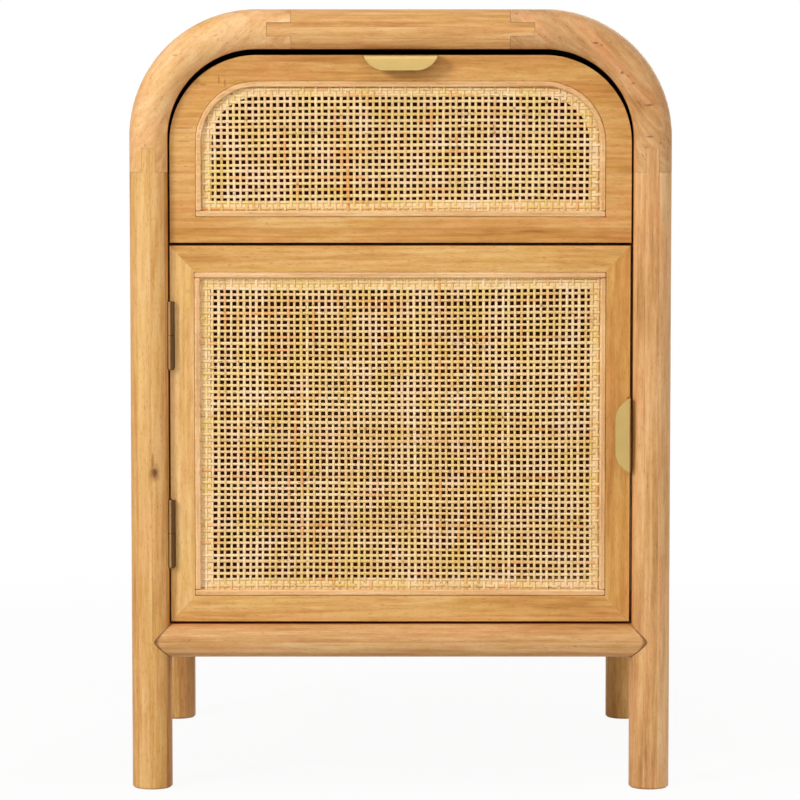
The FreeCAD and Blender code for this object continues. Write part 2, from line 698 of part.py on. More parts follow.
def build_hinges():
    """Two lift-off butt hinges: leaves on the post and on the door, pins and screws. Gives the rooms."""
    made = {kind: [] for kind in ("post_leaves", "door_leaves", "pins", "post_screws", "door_screws")}
    rooms = {"post": [], "door": []}
    middles = {"upper": "door_top - hinge_inset", "lower": "door_bottom + hinge_inset"}
    for place, middle in middles.items():
        low, high = about(middle, "leaf_half")
        leaf_z = (low, high)
        room_z = about(middle, "leaf_half + leaf_room")
        post_pairs = []
        door_pairs = []
        for share in HINGE_SCREW_SHARES:
            level = f"{middle} + {share} * hinge_screw_pitch"
            behind = "axis_y + hinge_screw_reach"
            sizes = ("small_screw", "leaf_thickness", "small_screw_length")
            post_pairs.append(screw("hinge_post_screw", "-x", ("post_leaf_in", behind, level), *sizes))
            door_pairs.append(screw("hinge_door_screw", "+x", ("door_leaf_out", behind, level), *sizes))
        post_rooms = [pair[1] for pair in post_pairs]
        door_rooms = [pair[1] for pair in door_pairs]
        lower_half = (low, f"{middle} - knuckle_gap / 2")
        upper_half = (f"{middle} + knuckle_gap / 2", high)
        post_x = ("post_leaf_out", "post_leaf_in")
        door_x = ("door_leaf_out", "door_leaf_in")
        made["post_leaves"].append(hinge_leaf(f"{place}_post_leaf", post_x, lower_half, leaf_z, post_rooms))
        made["door_leaves"].append(hinge_leaf(f"{place}_door_leaf", door_x, upper_half, leaf_z, door_rooms))
        made["post_screws"] += [pair[0] for pair in post_pairs]
        made["door_screws"] += [pair[0] for pair in door_pairs]
        stem = rod(f"{place}_pin_stem", "+z", "pin_r", "leaf_height", ("axis_x", "axis_y", low))
        head = rod(f"{place}_pin_head", "-z", "pin_head / 2", "pin_head_height", ("axis_x", "axis_y", low))
        made["pins"].append(joined(f"{place}_pin", [stem, head]))
        seat_y = ("axis_y - barrel_r - leaf_room", "leaf_rear + leaf_room")
        post_seat_x = ("post_leaf_out - leaf_room", "axis_x")
        door_seat_x = ("door_left - overrun", "door_leaf_in + leaf_room")
        rooms["post"] += [box(f"{place}_post_seat", post_seat_x, seat_y, room_z)] + post_rooms
        rooms["door"] += [box(f"{place}_door_seat", door_seat_x, seat_y, room_z)] + door_rooms
    for kind, solids in made.items():
        node(group(f"hinge_{kind}", solids), f"hinge_{kind}")
    return rooms


def build_pull(name, upright, middle, edge):
    """A bent tab let into a front's edge, with its screws. Gives the rooms that the front needs.

    The tab runs along X on the drawer and along Z on the door, and its lip turns away from the edge.
    """
    def spot(along, away, toward):
        return (toward, away, along) if upright else (along, away, toward)

    run = "+z" if upright else "+x"
    inward = "-x" if upright else "-z"
    low, high = about(middle, "pull_half")
    bend_away = "pull_front + pull_bend_out"
    bend_edge = f"{edge} - pull_bend_out"
    tip = f"{edge} - pull_drop"
    plate = box(f"{name}_plate", *spot((low, high), (bend_away, "pull_rear"), (f"{edge} - pull_plate", edge)))
    lip_away = ("pull_front", "pull_front + pull_plate")
    lip = box(f"{name}_lip", *spot((low, high), lip_away, (tip, bend_edge)))
    bend_start = spot(low, bend_away, bend_edge)
    bend_round = rod(f"{name}_bend_round", run, "pull_bend_out", "pull_length", bend_start)
    bend_hollow = rod(f"{name}_bend_hollow", run, "pull_bend", "pull_length", bend_start)
    bend_block = box(f"{name}_bend_block", *spot((low, high), ("pull_front", bend_away), (bend_edge, edge)))
    bend = cut(f"{name}_bend", common(f"{name}_bend_quarter", [bend_round, bend_block]), [bend_hollow])
    sheet_metal = joined(f"{name}_sheet", [plate, bend, lip])
    depth_span = ("pull_front - overrun", "pull_rear + overrun")
    length = f"({depth_span[1]}) - ({depth_span[0]})"
    outline_pieces = [box(f"{name}_flat", *spot(about(middle, "pull_corner_at"), depth_span, (tip, edge)))]
    for sign in SIDES.values():
        start = spot(f"{middle} + {sign} * pull_corner_at", depth_span[0], f"{tip} + pull_corner")
        outline_pieces.append(rod(f"{name}_round", "+y", "pull_corner", length, start))
    outline = joined(f"{name}_outline", outline_pieces)
    pairs = []
    for sign in SIDES.values():
        point = spot(f"{middle} + {sign} * pull_screw_pitch / 2", "pull_screw_y", edge)
        pairs.append(screw(f"{name}_screw", inward, point, "small_screw", "pull_plate", "small_screw_length"))
    rooms = [pair[1] for pair in pairs]
    node(cut(name, common(f"{name}_tab", [sheet_metal, outline]), rooms), name)
    node(group(f"{name}_screws", [pair[0] for pair in pairs]), f"{name}_screws")
    seat_along = about(middle, "pull_half + pull_room")
    seat_away = ("front_y - overrun", "pull_rear + pull_room")
    seat = box(f"{name}_seat", *spot(seat_along, seat_away, (f"{edge} - pull_plate", f"{edge} + overrun")))
    return [seat] + rooms


def drawer_bay(inset):
    """Half width, foot, top and corner radius of an arch that lies inside the drawer front's rebate."""
    return (f"drawer_bay_x - {inset}", f"drawer_bay_low + {inset}",
            f"drawer_bay_high - {inset}", f"drawer_bay_r - {inset}")


def build_drawer():
    """The caned front and the box behind it."""
    front_span = ("front_y", "front_back")
    pull_rooms = build_pull("drawer_pull", False, "0", "drawer_top")
    pairs = []
    for share in FRONT_SCREW_SHARES:
        point = (f"{share} * front_screw_pitch", "inner_back", "drawer_bay_low + bead_width")
        sizes = ("screw", "screw_head_height", "front_screw_length")
        pairs.append(screw("drawer_front_screw", "-y", point, *sizes))
    screw_rooms = [pair[1] for pair in pairs]
    node(group("drawer_front_screws", [pair[0] for pair in pairs]), "drawer_front_screws")
    board = arch("drawer_front_blank", "drawer_x", "drawer_bottom", "drawer_top", "drawer_r", front_span)
    past_front = ("front_y - overrun", "rebate_floor")
    rebate = arch("drawer_rebate", *drawer_bay("0"), past_front)
    window = arch("drawer_window", *drawer_bay("ledge_reach"), ("front_y", "front_back + overrun"))
    node(cut("drawer_front", board, [rebate, window] + pull_rooms + screw_rooms), "drawer_front")
    half, low, high, radius = drawer_bay("cane_room")
    node(arch("drawer_cane", half, low, high, radius, ("cane_face", "rebate_floor")), "drawer_cane")
    bead_span = ("bead_face", "cane_face")
    bead_foot = f"{low} + bead_width"
    hoop = arch("drawer_arch_bead_blank", half, f"{bead_foot} + glue_line", high, radius, bead_span)
    hollow_span = ("bead_face - overrun", "cane_face + overrun")
    hollow = arch("drawer_arch_bead_hollow", *drawer_bay("(cane_room + bead_width)"), hollow_span)
    node(cut("drawer_arch_bead", hoop, [hollow]), "drawer_arch_bead")
    node(box("drawer_bottom_bead", about("0", half), bead_span, (low, bead_foot)), "drawer_bottom_bead")
    build_drawer_box(screw_rooms)


def build_drawer_box(screw_rooms):
    """Two grooved sides, an inner front, a back and a base let into grooves."""
    housing = "drawer_base_housing + groove_room"
    room_y = (f"inner_back - ({housing})", "box_rear + overrun")
    room_z = ("base_under - groove_room", "base_top + groove_room")
    base_room = box("drawer_base_room", about("0", f"box_in + {housing}"), room_y, room_z)
    inner_span = ("front_back", "inner_back")
    inner = box("drawer_inner_front_blank", about("0", "box_in"), inner_span, ("box_bottom", "inner_top"))
    node(cut("drawer_inner_front", inner, [base_room] + screw_rooms), "drawer_inner_front")
    for side, sign in SIDES.items():
        name = f"drawer_{side}_side"
        side_x = sided(sign, "box_in", "box_x")
        blank = box(f"{name}_blank", side_x, ("front_back", "box_rear"), ("box_bottom", "box_top"))
        groove_x = sided(sign, "runner_face - runner_room", "box_x + overrun")
        groove_y = ("front_back + runner_stop", "box_rear + overrun")
        groove_z = ("runner_under - runner_room", "runner_upper + runner_room")
        groove = box(f"{name}_groove", groove_x, groove_y, groove_z)
        node(cut(name, blank, [groove, base_room]), name)
    base_y = ("inner_back - drawer_base_housing", "box_rear")
    base_x = about("0", "box_in + drawer_base_housing")
    node(box("drawer_base", base_x, base_y, ("base_under", "base_top")), "drawer_base")
    back_y = ("box_rear - drawer_board", "box_rear")
    back_z = ("base_top + groove_room", "box_top")
    node(box("drawer_back", about("0", "box_in"), back_y, back_z), "drawer_back")


def build_strike():
    """The steel plate on the door's back that the catch holds. Gives the rooms of its screws."""
    pairs = []
    for sign in SIDES.values():
        screw_x = f"catch_middle + {sign} * strike_screw_pitch / 2"
        point = (screw_x, "strike_rear", "strike_top - strike_height / 2")
        sizes = ("small_screw", "strike_thickness", "small_screw_length")
        pairs.append(screw("strike_screw", "-y", point, *sizes))
    rooms = [pair[1] for pair in pairs]
    strike_x = about("catch_middle", "strike_length / 2")
    strike_z = ("strike_top - strike_height", "strike_top")
    plate = box("catch_strike_blank", strike_x, ("front_back", "strike_rear"), strike_z)
    node(cut("catch_strike", plate, rooms), "catch_strike")
    node(group("strike_screws", [pair[0] for pair in pairs]), "strike_screws")
    return rooms


def build_door(hinge_rooms):
    """Four mitred members with a rebate for the cane, the cane and its four beads."""
    pull_rooms = build_pull("door_pull", True, "door_middle", "door_right")
    strike_rooms = build_strike()
    span = ("front_y", "front_back")
    outer = [("door_left", "door_bottom"), ("door_right", "door_bottom"),
             ("door_right", "door_top"), ("door_left", "door_top")]
    inner = [("window_left", "window_bottom"), ("window_right", "window_bottom"),
             ("window_right", "window_top"), ("window_left", "window_top")]
    members = {
        "door_bottom_rail": [],
        "door_pull_stile": pull_rooms,
        "door_top_rail": strike_rooms,
        "door_hinge_stile": hinge_rooms,
    }
    rebate_y = ("front_y - overrun", "rebate_floor")
    rebate_z = ("door_bay_bottom", "door_bay_top")
    rebate = box("door_rebate", ("door_bay_left", "door_bay_right"), rebate_y, rebate_z)
    for index, (name, rooms) in enumerate(members.items()):
        following = (index + 1) % len(outer)
        points = [outer[index], outer[following], inner[following], inner[index]]
        node(cut(name, prism(f"{name}_blank", points, span), [rebate] + rooms), name)
    cane_x = ("door_bay_left + cane_room", "door_bay_right - cane_room")
    cane_z = ("door_bay_bottom + cane_room", "door_bay_top - cane_room")
    sheet = box("door_cane_sheet", cane_x, ("cane_face", "rebate_floor"), cane_z)
    openings = lattice("cane_openings", ("window_left", "window_right"), ("window_bottom", "window_top"))
    node(cut("door_cane", sheet, [openings]), "door_cane")
    bead_y = ("bead_face", "cane_face")
    upright_z = (f"{cane_z[0]} + bead_width + glue_line", f"{cane_z[1]} - bead_width - glue_line")
    beads = {
        "door_bottom_bead": (cane_x, (cane_z[0], f"{cane_z[0]} + bead_width")),
        "door_top_bead": (cane_x, (f"{cane_z[1]} - bead_width", cane_z[1])),
        "door_left_bead": ((cane_x[0], f"{cane_x[0]} + bead_width"), upright_z),
        "door_right_bead": ((f"{cane_x[1]} - bead_width", cane_x[1]), upright_z),
    }
    for name, (bead_x, bead_z) in beads.items():
        node(box(name, bead_x, bead_y, bead_z), name)


def build_nightstand():
    """Builds every sub-part from the sheet."""
    fill_sizes()
    copes = {end: hoop_copes(end) for end in ENDS}
    rail_copes = {end: cross_rail_blank(end, "rail_cope_r") for end in ENDS}
    rail_copes |= {side: side_rail_blank(side, "rail_cope_r") for side in SIDES}
    hinge_rooms = build_hinges()
    back_room = build_frame(copes, rail_copes, hinge_rooms["post"])
    runner_rooms = build_runners()
    catch_rooms = build_catch()
    build_shell(copes, rail_copes, back_room, runner_rooms, catch_rooms)
    build_drawer()
    build_door(hinge_rooms["door"])
    doc.recompute()


def check_and_write():
    """Stops at a failed object or a bad shape, then writes each sub-part to a file of its own."""
    for item in doc.Objects:
        if "Invalid" in item.State or "Error" in item.State:
            raise RuntimeError(f"{item.Label} failed: {item.State}")
    for item in nodes:
        if item.Shape.isNull() or not item.Shape.isValid() or not item.Shape.Solids:
            raise RuntimeError(f"{item.Label} has no valid solid")
    os.makedirs("parts", exist_ok=True)
    for item in nodes:
        item.Shape.exportStep(f"parts/{item.Label}.step")
        print(item.Label, len(item.Shape.Solids), round(item.Shape.Volume))


build_nightstand()
check_and_write()
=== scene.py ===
import math
import random

import bpy
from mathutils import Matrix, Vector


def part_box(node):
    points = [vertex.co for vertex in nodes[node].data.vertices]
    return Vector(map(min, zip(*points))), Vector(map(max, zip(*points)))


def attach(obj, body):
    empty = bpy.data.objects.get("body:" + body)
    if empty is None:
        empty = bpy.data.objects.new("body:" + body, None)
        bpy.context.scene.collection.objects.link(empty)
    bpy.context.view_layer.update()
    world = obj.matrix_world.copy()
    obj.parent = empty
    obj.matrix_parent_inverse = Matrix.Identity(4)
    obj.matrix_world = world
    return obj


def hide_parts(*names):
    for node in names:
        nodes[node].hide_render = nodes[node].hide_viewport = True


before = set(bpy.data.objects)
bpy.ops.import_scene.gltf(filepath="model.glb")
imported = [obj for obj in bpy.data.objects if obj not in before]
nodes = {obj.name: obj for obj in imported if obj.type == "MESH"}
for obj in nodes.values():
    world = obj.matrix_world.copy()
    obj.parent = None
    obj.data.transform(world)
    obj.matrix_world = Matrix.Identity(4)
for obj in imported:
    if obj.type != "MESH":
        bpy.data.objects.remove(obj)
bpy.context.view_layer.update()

# The looks of a cane nightstand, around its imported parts: wood, cane, metal, light and camera.
# Lengths are in metres, in the frame of the parts: the front faces -Y, Z is up, the floor is at 0.

MM = 0.001


# Colours, written as the 0 to 255 steps of a screen

def srgb(red, green, blue):
    """A screen colour as the linear colour that shaders take."""
    def linear(step):
        share = step / 255
        return share / 12.92 if share <= 0.04045 else ((share + 0.055) / 1.055) ** 2.4
    return (linear(red), linear(green), linear(blue), 1.0)


# The middle tone of each kind of wood, and the steps from it to its streaks, the darkest one first
TONES = {
    "left_post": (208, 154, 86),
    "right_post": (220, 171, 114),
    "left_bend": (224, 172, 114),
    "right_bend": (202, 153, 99),
    "top_rail": (215, 163, 100),
    "low_rail": (206, 157, 99),
    "drawer": (203, 147, 76),
    "door": (211, 159, 89),
    "pull_stile": (208, 152, 79),
    "hinge_stile": (222, 174, 107),
    "bead": (226, 180, 125),
    "drawer_bead": (219, 171, 114),
    # Painted light and shade: the left back leg, which the key light reaches, is toned darker, and the right
    # one, in the shade of the body, paler.
    "left_back_leg": (217, 164, 99),
    "right_back_leg": (240, 188, 113),
    "board": (216, 166, 104),
    "plain": (212, 168, 110),
    # Painted shade: a darker, redder tone for the boards within the cupboard, for the shade seen through the
    # cane.
    "inside": (172, 104, 46),
}
STREAK_STEPS = ((-58, -62, -54), (-16, -20, -20), (0, 0, 0), (18, 28, 34))
STREAK_PLACES = (0.0, 0.36, 0.6, 1.0)


def streaks(tone):
    """The colours of a kind of wood, from its darkest streak to its palest one."""
    return [srgb(*(min(middle + step, 255) for middle, step in zip(tone, steps))) for steps in STREAK_STEPS]


PORE_BROWN = srgb(150, 96, 48)
KNOT_BROWN = srgb(104, 56, 22)
GLUE_BROWN = srgb(150, 100, 54)
# Dark glue, with painted shade, for the joint lines of the tubes and the rims of the feet.
JOINT_GLUE_AND_SHADE = (110, 62, 26)
WARM_TINT = srgb(232, 150, 96)
YELLOW_TINT = srgb(222, 178, 84)
# Painted shade: dark brown on the face of the board behind the drawer's cane, for the shade seen through its
# holes.
CANE_BACKING_SHADE = srgb(74, 22, 5)
# The pale of raw wood on the rebates behind the cane, made paler still: painted light that lifts the shade
# of the beads and strands there.
PALE_RAW_AND_PAINTED_LIGHT = srgb(255, 222, 160)
# Painted shade, multiplied over the inner face of the back panel to darken it like the cupboard's other
# boards.
INNER_FACE_SHADE = srgb(203, 162, 124)


class Graph:
    """The node tree of one material, with short calls for the nodes that the materials use."""

    def __init__(self, name):
        self.material = bpy.data.materials.new(name)
        self.material.use_nodes = True
        self.tree = self.material.node_tree
        self.shader = self.tree.nodes["Principled BSDF"]

    def plug(self, socket, value):
        if isinstance(value, bpy.types.NodeSocket):
            self.tree.links.new(value, socket)
        else:
            socket.default_value = value

    def node(self, kind, inputs=None, output=0, **settings):
        made = self.tree.nodes.new(kind)
        for key, value in settings.items():
            setattr(made, key, value)
        for key, value in (inputs or {}).items():
            self.plug(made.inputs[key], value)
        return made.outputs[output]

    def place(self):
        return self.node("ShaderNodeTexCoord", output="Object")

    def math(self, operation, first, second=0.0):
        return self.node("ShaderNodeMath", {0: first, 1: second}, operation=operation)

    def vector(self, operation, first, second):
        return self.node("ShaderNodeVectorMath", {0: first, 1: second}, operation=operation)

    def part(self, vector, axis):
        return self.node("ShaderNodeSeparateXYZ", {0: vector}, output=axis)

    def noise(self, place, sizes, detail=2.0, roughness=0.5):
        """Noise whose features have about these sizes along X, Y and Z."""
        scaled = self.vector("MULTIPLY", place, tuple(1 / size for size in sizes))
        settings = {"Vector": scaled, "Scale": 1.0, "Detail": detail, "Roughness": roughness}
        return self.node("ShaderNodeTexNoise", settings)

    def chance(self, number):
        """A value from 0 to 1 that is the same for the same whole number."""
        return self.node("ShaderNodeTexWhiteNoise", {"W": number}, noise_dimensions="1D")

    def between(self, value, low, high, to_low=0.0, to_high=1.0):
        settings = {0: value, 1: low, 2: high, 3: to_low, 4: to_high}
        return self.node("ShaderNodeMapRange", settings, interpolation_type="SMOOTHSTEP")

    def weighed(self, terms):
        """The sum of (value, middle, weight) terms: weight times the value's distance from its middle."""
        total = 0.0
        for value, middle, weight in terms:
            share = self.math("MULTIPLY", self.math("SUBTRACT", value, middle), weight)
            total = self.math("ADD", share, total)
        return total

    def ramp(self, value, colours, places):
        made = self.tree.nodes.new("ShaderNodeValToRGB")
        stops = made.color_ramp.elements
        while len(stops) < len(colours):
            stops.new(1.0)
        for stop, colour, place in zip(stops, colours, places):
            stop.position = place
            stop.color = colour
        self.plug(made.inputs[0], value)
        return made.outputs[0]

    def mix(self, share, first, second, blend="MIX"):
        settings = {0: share, 6: first, 7: second}
        return self.node("ShaderNodeMix", settings, output=2, data_type="RGBA", blend_type=blend)

    def bump(self, height, depth):
        settings = {"Height": height, "Distance": depth, "Strength": 1.0}
        self.plug(self.shader.inputs["Normal"], self.node("ShaderNodeBump", settings))

    def finish(self, **sockets):
        for name, value in sockets.items():
            self.plug(self.shader.inputs[name.replace("_", " ")], value)
        return self.material


# Noise lies around its middle, and seldom beyond its span.
NOISE_MIDDLE = 0.5
NOISE_SPAN = (0.3, 0.7)


# Wood

# Turns that lay the grain of a piece along the Z axis of its wood, and its staves side by side along X.
QUARTER = math.radians(90)
GRAIN_TURNS = {
    "up": (0.0, 0.0, 0.0),
    "up_side": (0.0, 0.0, -QUARTER),
    "across": (0.0, -QUARTER, 0.0),
    "across_level": (-QUARTER, -QUARTER, 0.0),
    "deep": (QUARTER, 0.0, 0.0),
    "left_bend": (0.0, -QUARTER / 2, 0.0),
    "right_bend": (0.0, QUARTER / 2, 0.0),
}
SEED_STEP = (0.913, 0.377, 0.571)
BROAD_SIZES = (30 * MM, 30 * MM, 150 * MM)
FIGURE_SIZES = (11 * MM, 11 * MM, 260 * MM)
STREAK_SIZES = (3.2 * MM, 3.2 * MM, 55 * MM)
FIBRE_SIZES = (0.9 * MM, 0.9 * MM, 16 * MM)
MOTTLE_SIZES = (5 * MM, 5 * MM, 17 * MM)
PORE_SIZES = (0.55 * MM, 0.55 * MM, 5 * MM)
FLECK_SIZES = (2.2 * MM, 2.2 * MM, 6 * MM)
CLOUD_SIZES = (9 * MM, 9 * MM, 16 * MM)
TINT_SIZES = (14 * MM, 14 * MM, 70 * MM)
FIGURE_LINES = 4.0
# How strongly each layer of the grain moves the tone, around its middle
STAVE_WEIGHT = 0.36
BROAD_WEIGHT = 0.75
LINES_WEIGHT = 0.08
FIBRE_WEIGHT = 0.45
STREAK_WEIGHT = 0.65
MOTTLE_WEIGHT = 0.4
BENT_STREAK_WEIGHT = 0.25
CLOUD_WEIGHT = 0.7
MIDDLE_TONE = 0.57
# Where the noise turns to a tint, a pore or a fleck, from none to all of it, and how much of each shows
WARM_RANGE = (0.45, 0.8)
YELLOW_RANGE = (0.52, 0.2)
TINT_SHARE = 0.4
PORE_RANGE = (0.60, 0.74)
PORE_SHARE = 0.45
FLECK_RANGE = (0.67, 0.77)
# How far the grain of a stave is slid along from its neighbour's, and the rim of a stave that shows glue
STAVE_SLIDE = 3.0
GLUE_RIM_SHARES = (0.47, 0.5)
GLUE_SHARE = 0.22
FIBRE_RISE = 0.6
PORE_RISE = -0.8
GRAIN_DEPTH = 0.12 * MM
PAINT_DEPTH = 0.3 * MM
WOOD_GLOSS = 0.3
DULL_GLOSS = 0.1
WOOD_ROUGH = (0.46, 0.58)


def wood(name, seed, grain, tone, tint=0.5, strip=None, flecks=0.0, marks=(), painted=None, coped=False,
         gloss=WOOD_GLOSS):
    """Wood with broad tone, growth lines, streaks and pores along its grain, or clouds where it is bent.

    tint goes from yellow to warm. strip is the width of the staves that the piece is glued from, and flecks
    the strength of its short dark flecks. marks are knots, as (place, radius, length along Z, darkness).
    painted is a face of another colour, as (its Y, colour, blend): painted light on the pale rebates,
    painted shade on the faces behind the cane. coped wood is darker where it meets a post: dark glue and
    painted crease shade.
    """
    g = Graph(name)
    place = g.place()
    shift = tuple(seed * step for step in SEED_STEP)
    laid = g.node("ShaderNodeMapping", {"Vector": place, "Rotation": GRAIN_TURNS[grain], "Location": shift})
    terms = []
    glue = None
    if strip:
        row = g.math("DIVIDE", g.part(laid, "X"), strip)
        number = g.math("FLOOR", row)
        stave = g.chance(g.math("ADD", number, 0.5 + seed))
        terms.append((stave, NOISE_MIDDLE, STAVE_WEIGHT))
        slide = g.node("ShaderNodeCombineXYZ", {"Z": g.math("MULTIPLY", stave, STAVE_SLIDE)})
        laid = g.vector("ADD", laid, slide)
        side = g.math("ABSOLUTE", g.math("SUBTRACT", g.math("FRACT", row), 0.5))
        glue = g.between(side, *GLUE_RIM_SHARES)

    broad = g.noise(laid, BROAD_SIZES, detail=1.0)
    figure = g.noise(laid, FIGURE_SIZES, detail=1.0)
    lines = g.math("SINE", g.math("MULTIPLY", figure, FIGURE_LINES * 2 * math.pi))
    streak = g.noise(laid, STREAK_SIZES, detail=1.0)
    fibre = g.noise(laid, FIBRE_SIZES, detail=2.0, roughness=0.6)
    pore = g.between(g.noise(laid, PORE_SIZES, detail=1.0), *PORE_RANGE)
    tint_noise = g.noise(laid, TINT_SIZES, detail=1.0)
    terms.append((broad, NOISE_MIDDLE, BROAD_WEIGHT))
    terms.append((lines, 0.0, LINES_WEIGHT))
    terms.append((fibre, NOISE_MIDDLE, FIBRE_WEIGHT))
    if grain.endswith("_bend"):
        terms.append((streak, NOISE_MIDDLE, BENT_STREAK_WEIGHT))
        terms.append((g.noise(laid, CLOUD_SIZES, detail=2.0), NOISE_MIDDLE, CLOUD_WEIGHT))
    else:
        terms.append((streak, NOISE_MIDDLE, STREAK_WEIGHT))
        terms.append((g.noise(laid, MOTTLE_SIZES, detail=2.0), NOISE_MIDDLE, MOTTLE_WEIGHT))
    value = g.math("ADD", g.weighed(terms), MIDDLE_TONE)

    colour = g.ramp(value, streaks(TONES.get(tone, tone)), STREAK_PLACES)
    colour = g.mix(g.between(tint_noise, *WARM_RANGE, 0.0, TINT_SHARE * tint), colour, WARM_TINT)
    colour = g.mix(g.between(tint_noise, *YELLOW_RANGE, 0.0, TINT_SHARE * (1 - tint)), colour, YELLOW_TINT)
    colour = g.mix(g.math("MULTIPLY", pore, PORE_SHARE), colour, PORE_BROWN)
    if flecks:
        fleck = g.between(g.noise(laid, FLECK_SIZES, detail=1.0), *FLECK_RANGE)
        colour = g.mix(g.math("MULTIPLY", fleck, flecks), colour, KNOT_BROWN)
    if glue:
        colour = g.mix(g.math("MULTIPLY", glue, GLUE_SHARE), colour, GLUE_BROWN)
    for centre, radius, length, darkness in marks:
        colour = g.mix(mark_share(g, place, centre, radius, length, darkness), colour, KNOT_BROWN)
    # Coped rails: dark glue and painted shade in the crease along the post.
    if coped:
        colour = g.mix(joint_glue_and_shade(g, place), colour, srgb(*JOINT_GLUE_AND_SHADE))
    if painted:
        level, paint, blend = painted
        off = g.math("ABSOLUTE", g.math("SUBTRACT", g.part(place, "Y"), level))
        colour = g.mix(g.between(off, PAINT_DEPTH, PAINT_DEPTH / 2), colour, paint, blend)

    height = g.weighed([(fibre, NOISE_MIDDLE, FIBRE_RISE), (pore, 0.0, PORE_RISE)])
    g.bump(height, GRAIN_DEPTH)
    rough = g.between(fibre, *NOISE_SPAN, *WOOD_ROUGH)
    return g.finish(Base_Color=colour, Roughness=rough, Specular_IOR_Level=gloss)


POST_LOW, POST_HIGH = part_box("back_right_post")
POST_MIDDLE = (POST_LOW + POST_HIGH) / 2
POST_RADIUS = (POST_HIGH.x - POST_LOW.x) / 2
# The dark line of a coped joint, of dark glue and painted shade in the crease: how far out it fades, how
# ragged it is and how much of it shows
JOINT_REACH = (1.5 * MM, 0.3 * MM)
JOINT_RAGGED_SIZES = (2 * MM, 2 * MM, 2 * MM)
JOINT_RAGGED = 1.2 * MM
JOINT_SHARE = 0.85
MARK_RIM_SHARES = (1.5, 0.8)


def joint_glue_and_shade(g, place):
    """How dark the joint with the nearest post is: a ragged line along the round of that post, of dark glue
    and painted crease shade.
    """
    across = g.math("SUBTRACT", g.math("ABSOLUTE", g.part(place, "X")), POST_MIDDLE.x)
    deep = g.math("SUBTRACT", g.math("ABSOLUTE", g.part(place, "Y")), POST_MIDDLE.y)
    flat = g.node("ShaderNodeCombineXYZ", {"X": across, "Y": deep})
    distance = g.node("ShaderNodeVectorMath", {0: flat}, "Value", operation="LENGTH")
    ragged = g.math("MULTIPLY", g.noise(place, JOINT_RAGGED_SIZES), JOINT_RAGGED)
    beyond = g.math("SUBTRACT", g.math("ADD", distance, ragged), POST_RADIUS + JOINT_RAGGED / 2)
    return g.between(beyond, *JOINT_REACH, 0.0, JOINT_SHARE)


def mark_share(g, place, centre, radius, length, darkness):
    """How much of a knot or fleck shows at a place: all in its middle, none at its soft rim."""
    apart = g.vector("SUBTRACT", place, centre)
    scaled = g.vector("DIVIDE", apart, (radius, radius, length))
    ragged = g.noise(place, (radius, radius, radius))
    reach = g.math("ADD", g.node("ShaderNodeVectorMath", {0: scaled}, "Value", operation="LENGTH"), ragged)
    return g.between(reach, *MARK_RIM_SHARES, 0.0, darkness)


# Metal and plastic

BRUSH_WEIGHT = 0.4
DRIFT_WEIGHT = 0.4
BRUSH_DEPTH = 0.01 * MM
METAL_DRIFT_SIZES = (14 * MM, 14 * MM, 14 * MM)
METAL_STOPS = (0.0, 0.5, 1.0)
BRUSHED_METALLIC = 0.9
PATINA_SIZES = (1.5 * MM, 1.5 * MM, 9 * MM)
# How the painted highlight fades into the patina, in widths from its line
HIGHLIGHT_FADE_SHARES = (2.6, 0.2)
PATINA_STOPS = (0.0, 0.55, 1.0)
PATINA_DEPTH = 0.03 * MM
PATINA_METALLIC = 0.85
PATINA_ROUGH = (0.3, 0.45)
SPARK_SIZES = (0.4 * MM, 0.4 * MM, 0.4 * MM)
SPARK_DEPTH = 0.02 * MM
PLASTIC_DRIFT_SIZES = (12 * MM, 12 * MM, 12 * MM)


def brushed_metal(name, palette, brush_sizes, rough):
    """Metal with fine brush lines, drifting tone and a slightly uneven gloss."""
    g = Graph(name)
    place = g.place()
    brush = g.noise(place, brush_sizes, detail=3.0, roughness=0.6)
    drift = g.noise(place, METAL_DRIFT_SIZES, detail=1.0)
    terms = [(brush, NOISE_MIDDLE, BRUSH_WEIGHT), (drift, NOISE_MIDDLE, DRIFT_WEIGHT)]
    value = g.math("ADD", g.weighed(terms), NOISE_MIDDLE)
    colour = g.ramp(value, palette, METAL_STOPS)
    g.bump(brush, BRUSH_DEPTH)
    roughness = g.between(drift, *NOISE_SPAN, *rough)
    return g.finish(Base_Color=colour, Metallic=BRUSHED_METALLIC, Roughness=roughness)


def brass_with_painted_highlight(name, palette, highlight_x, highlight_width):
    """Brass with a dark patina, and a painted highlight along one upright line at this X, where a barrel
    would catch the light.
    """
    g = Graph(name)
    place = g.place()
    ragged = g.noise(place, PATINA_SIZES, detail=2.0)
    off = g.math("ABSOLUTE", g.math("SUBTRACT", g.part(place, "X"), highlight_x))
    apart = g.math("ADD", g.math("DIVIDE", off, highlight_width), g.math("SUBTRACT", ragged, NOISE_MIDDLE))
    colour = g.ramp(g.between(apart, *HIGHLIGHT_FADE_SHARES), palette, PATINA_STOPS)
    g.bump(ragged, PATINA_DEPTH)
    roughness = g.between(ragged, *NOISE_SPAN, *PATINA_ROUGH)
    return g.finish(Base_Color=colour, Metallic=PATINA_METALLIC, Roughness=roughness)


def moulded_plastic(name, palette, rough):
    """Plastic with the fine spark texture of a mould and a little tone."""
    g = Graph(name)
    place = g.place()
    spark = g.noise(place, SPARK_SIZES, detail=3.0)
    drift = g.noise(place, PLASTIC_DRIFT_SIZES)
    colour = g.ramp(drift, palette, NOISE_SPAN)
    g.bump(spark, SPARK_DEPTH)
    return g.finish(Base_Color=colour, Roughness=g.between(spark, *NOISE_SPAN, *rough))


BRASS = (srgb(166, 138, 80), srgb(186, 158, 98), srgb(204, 178, 120))
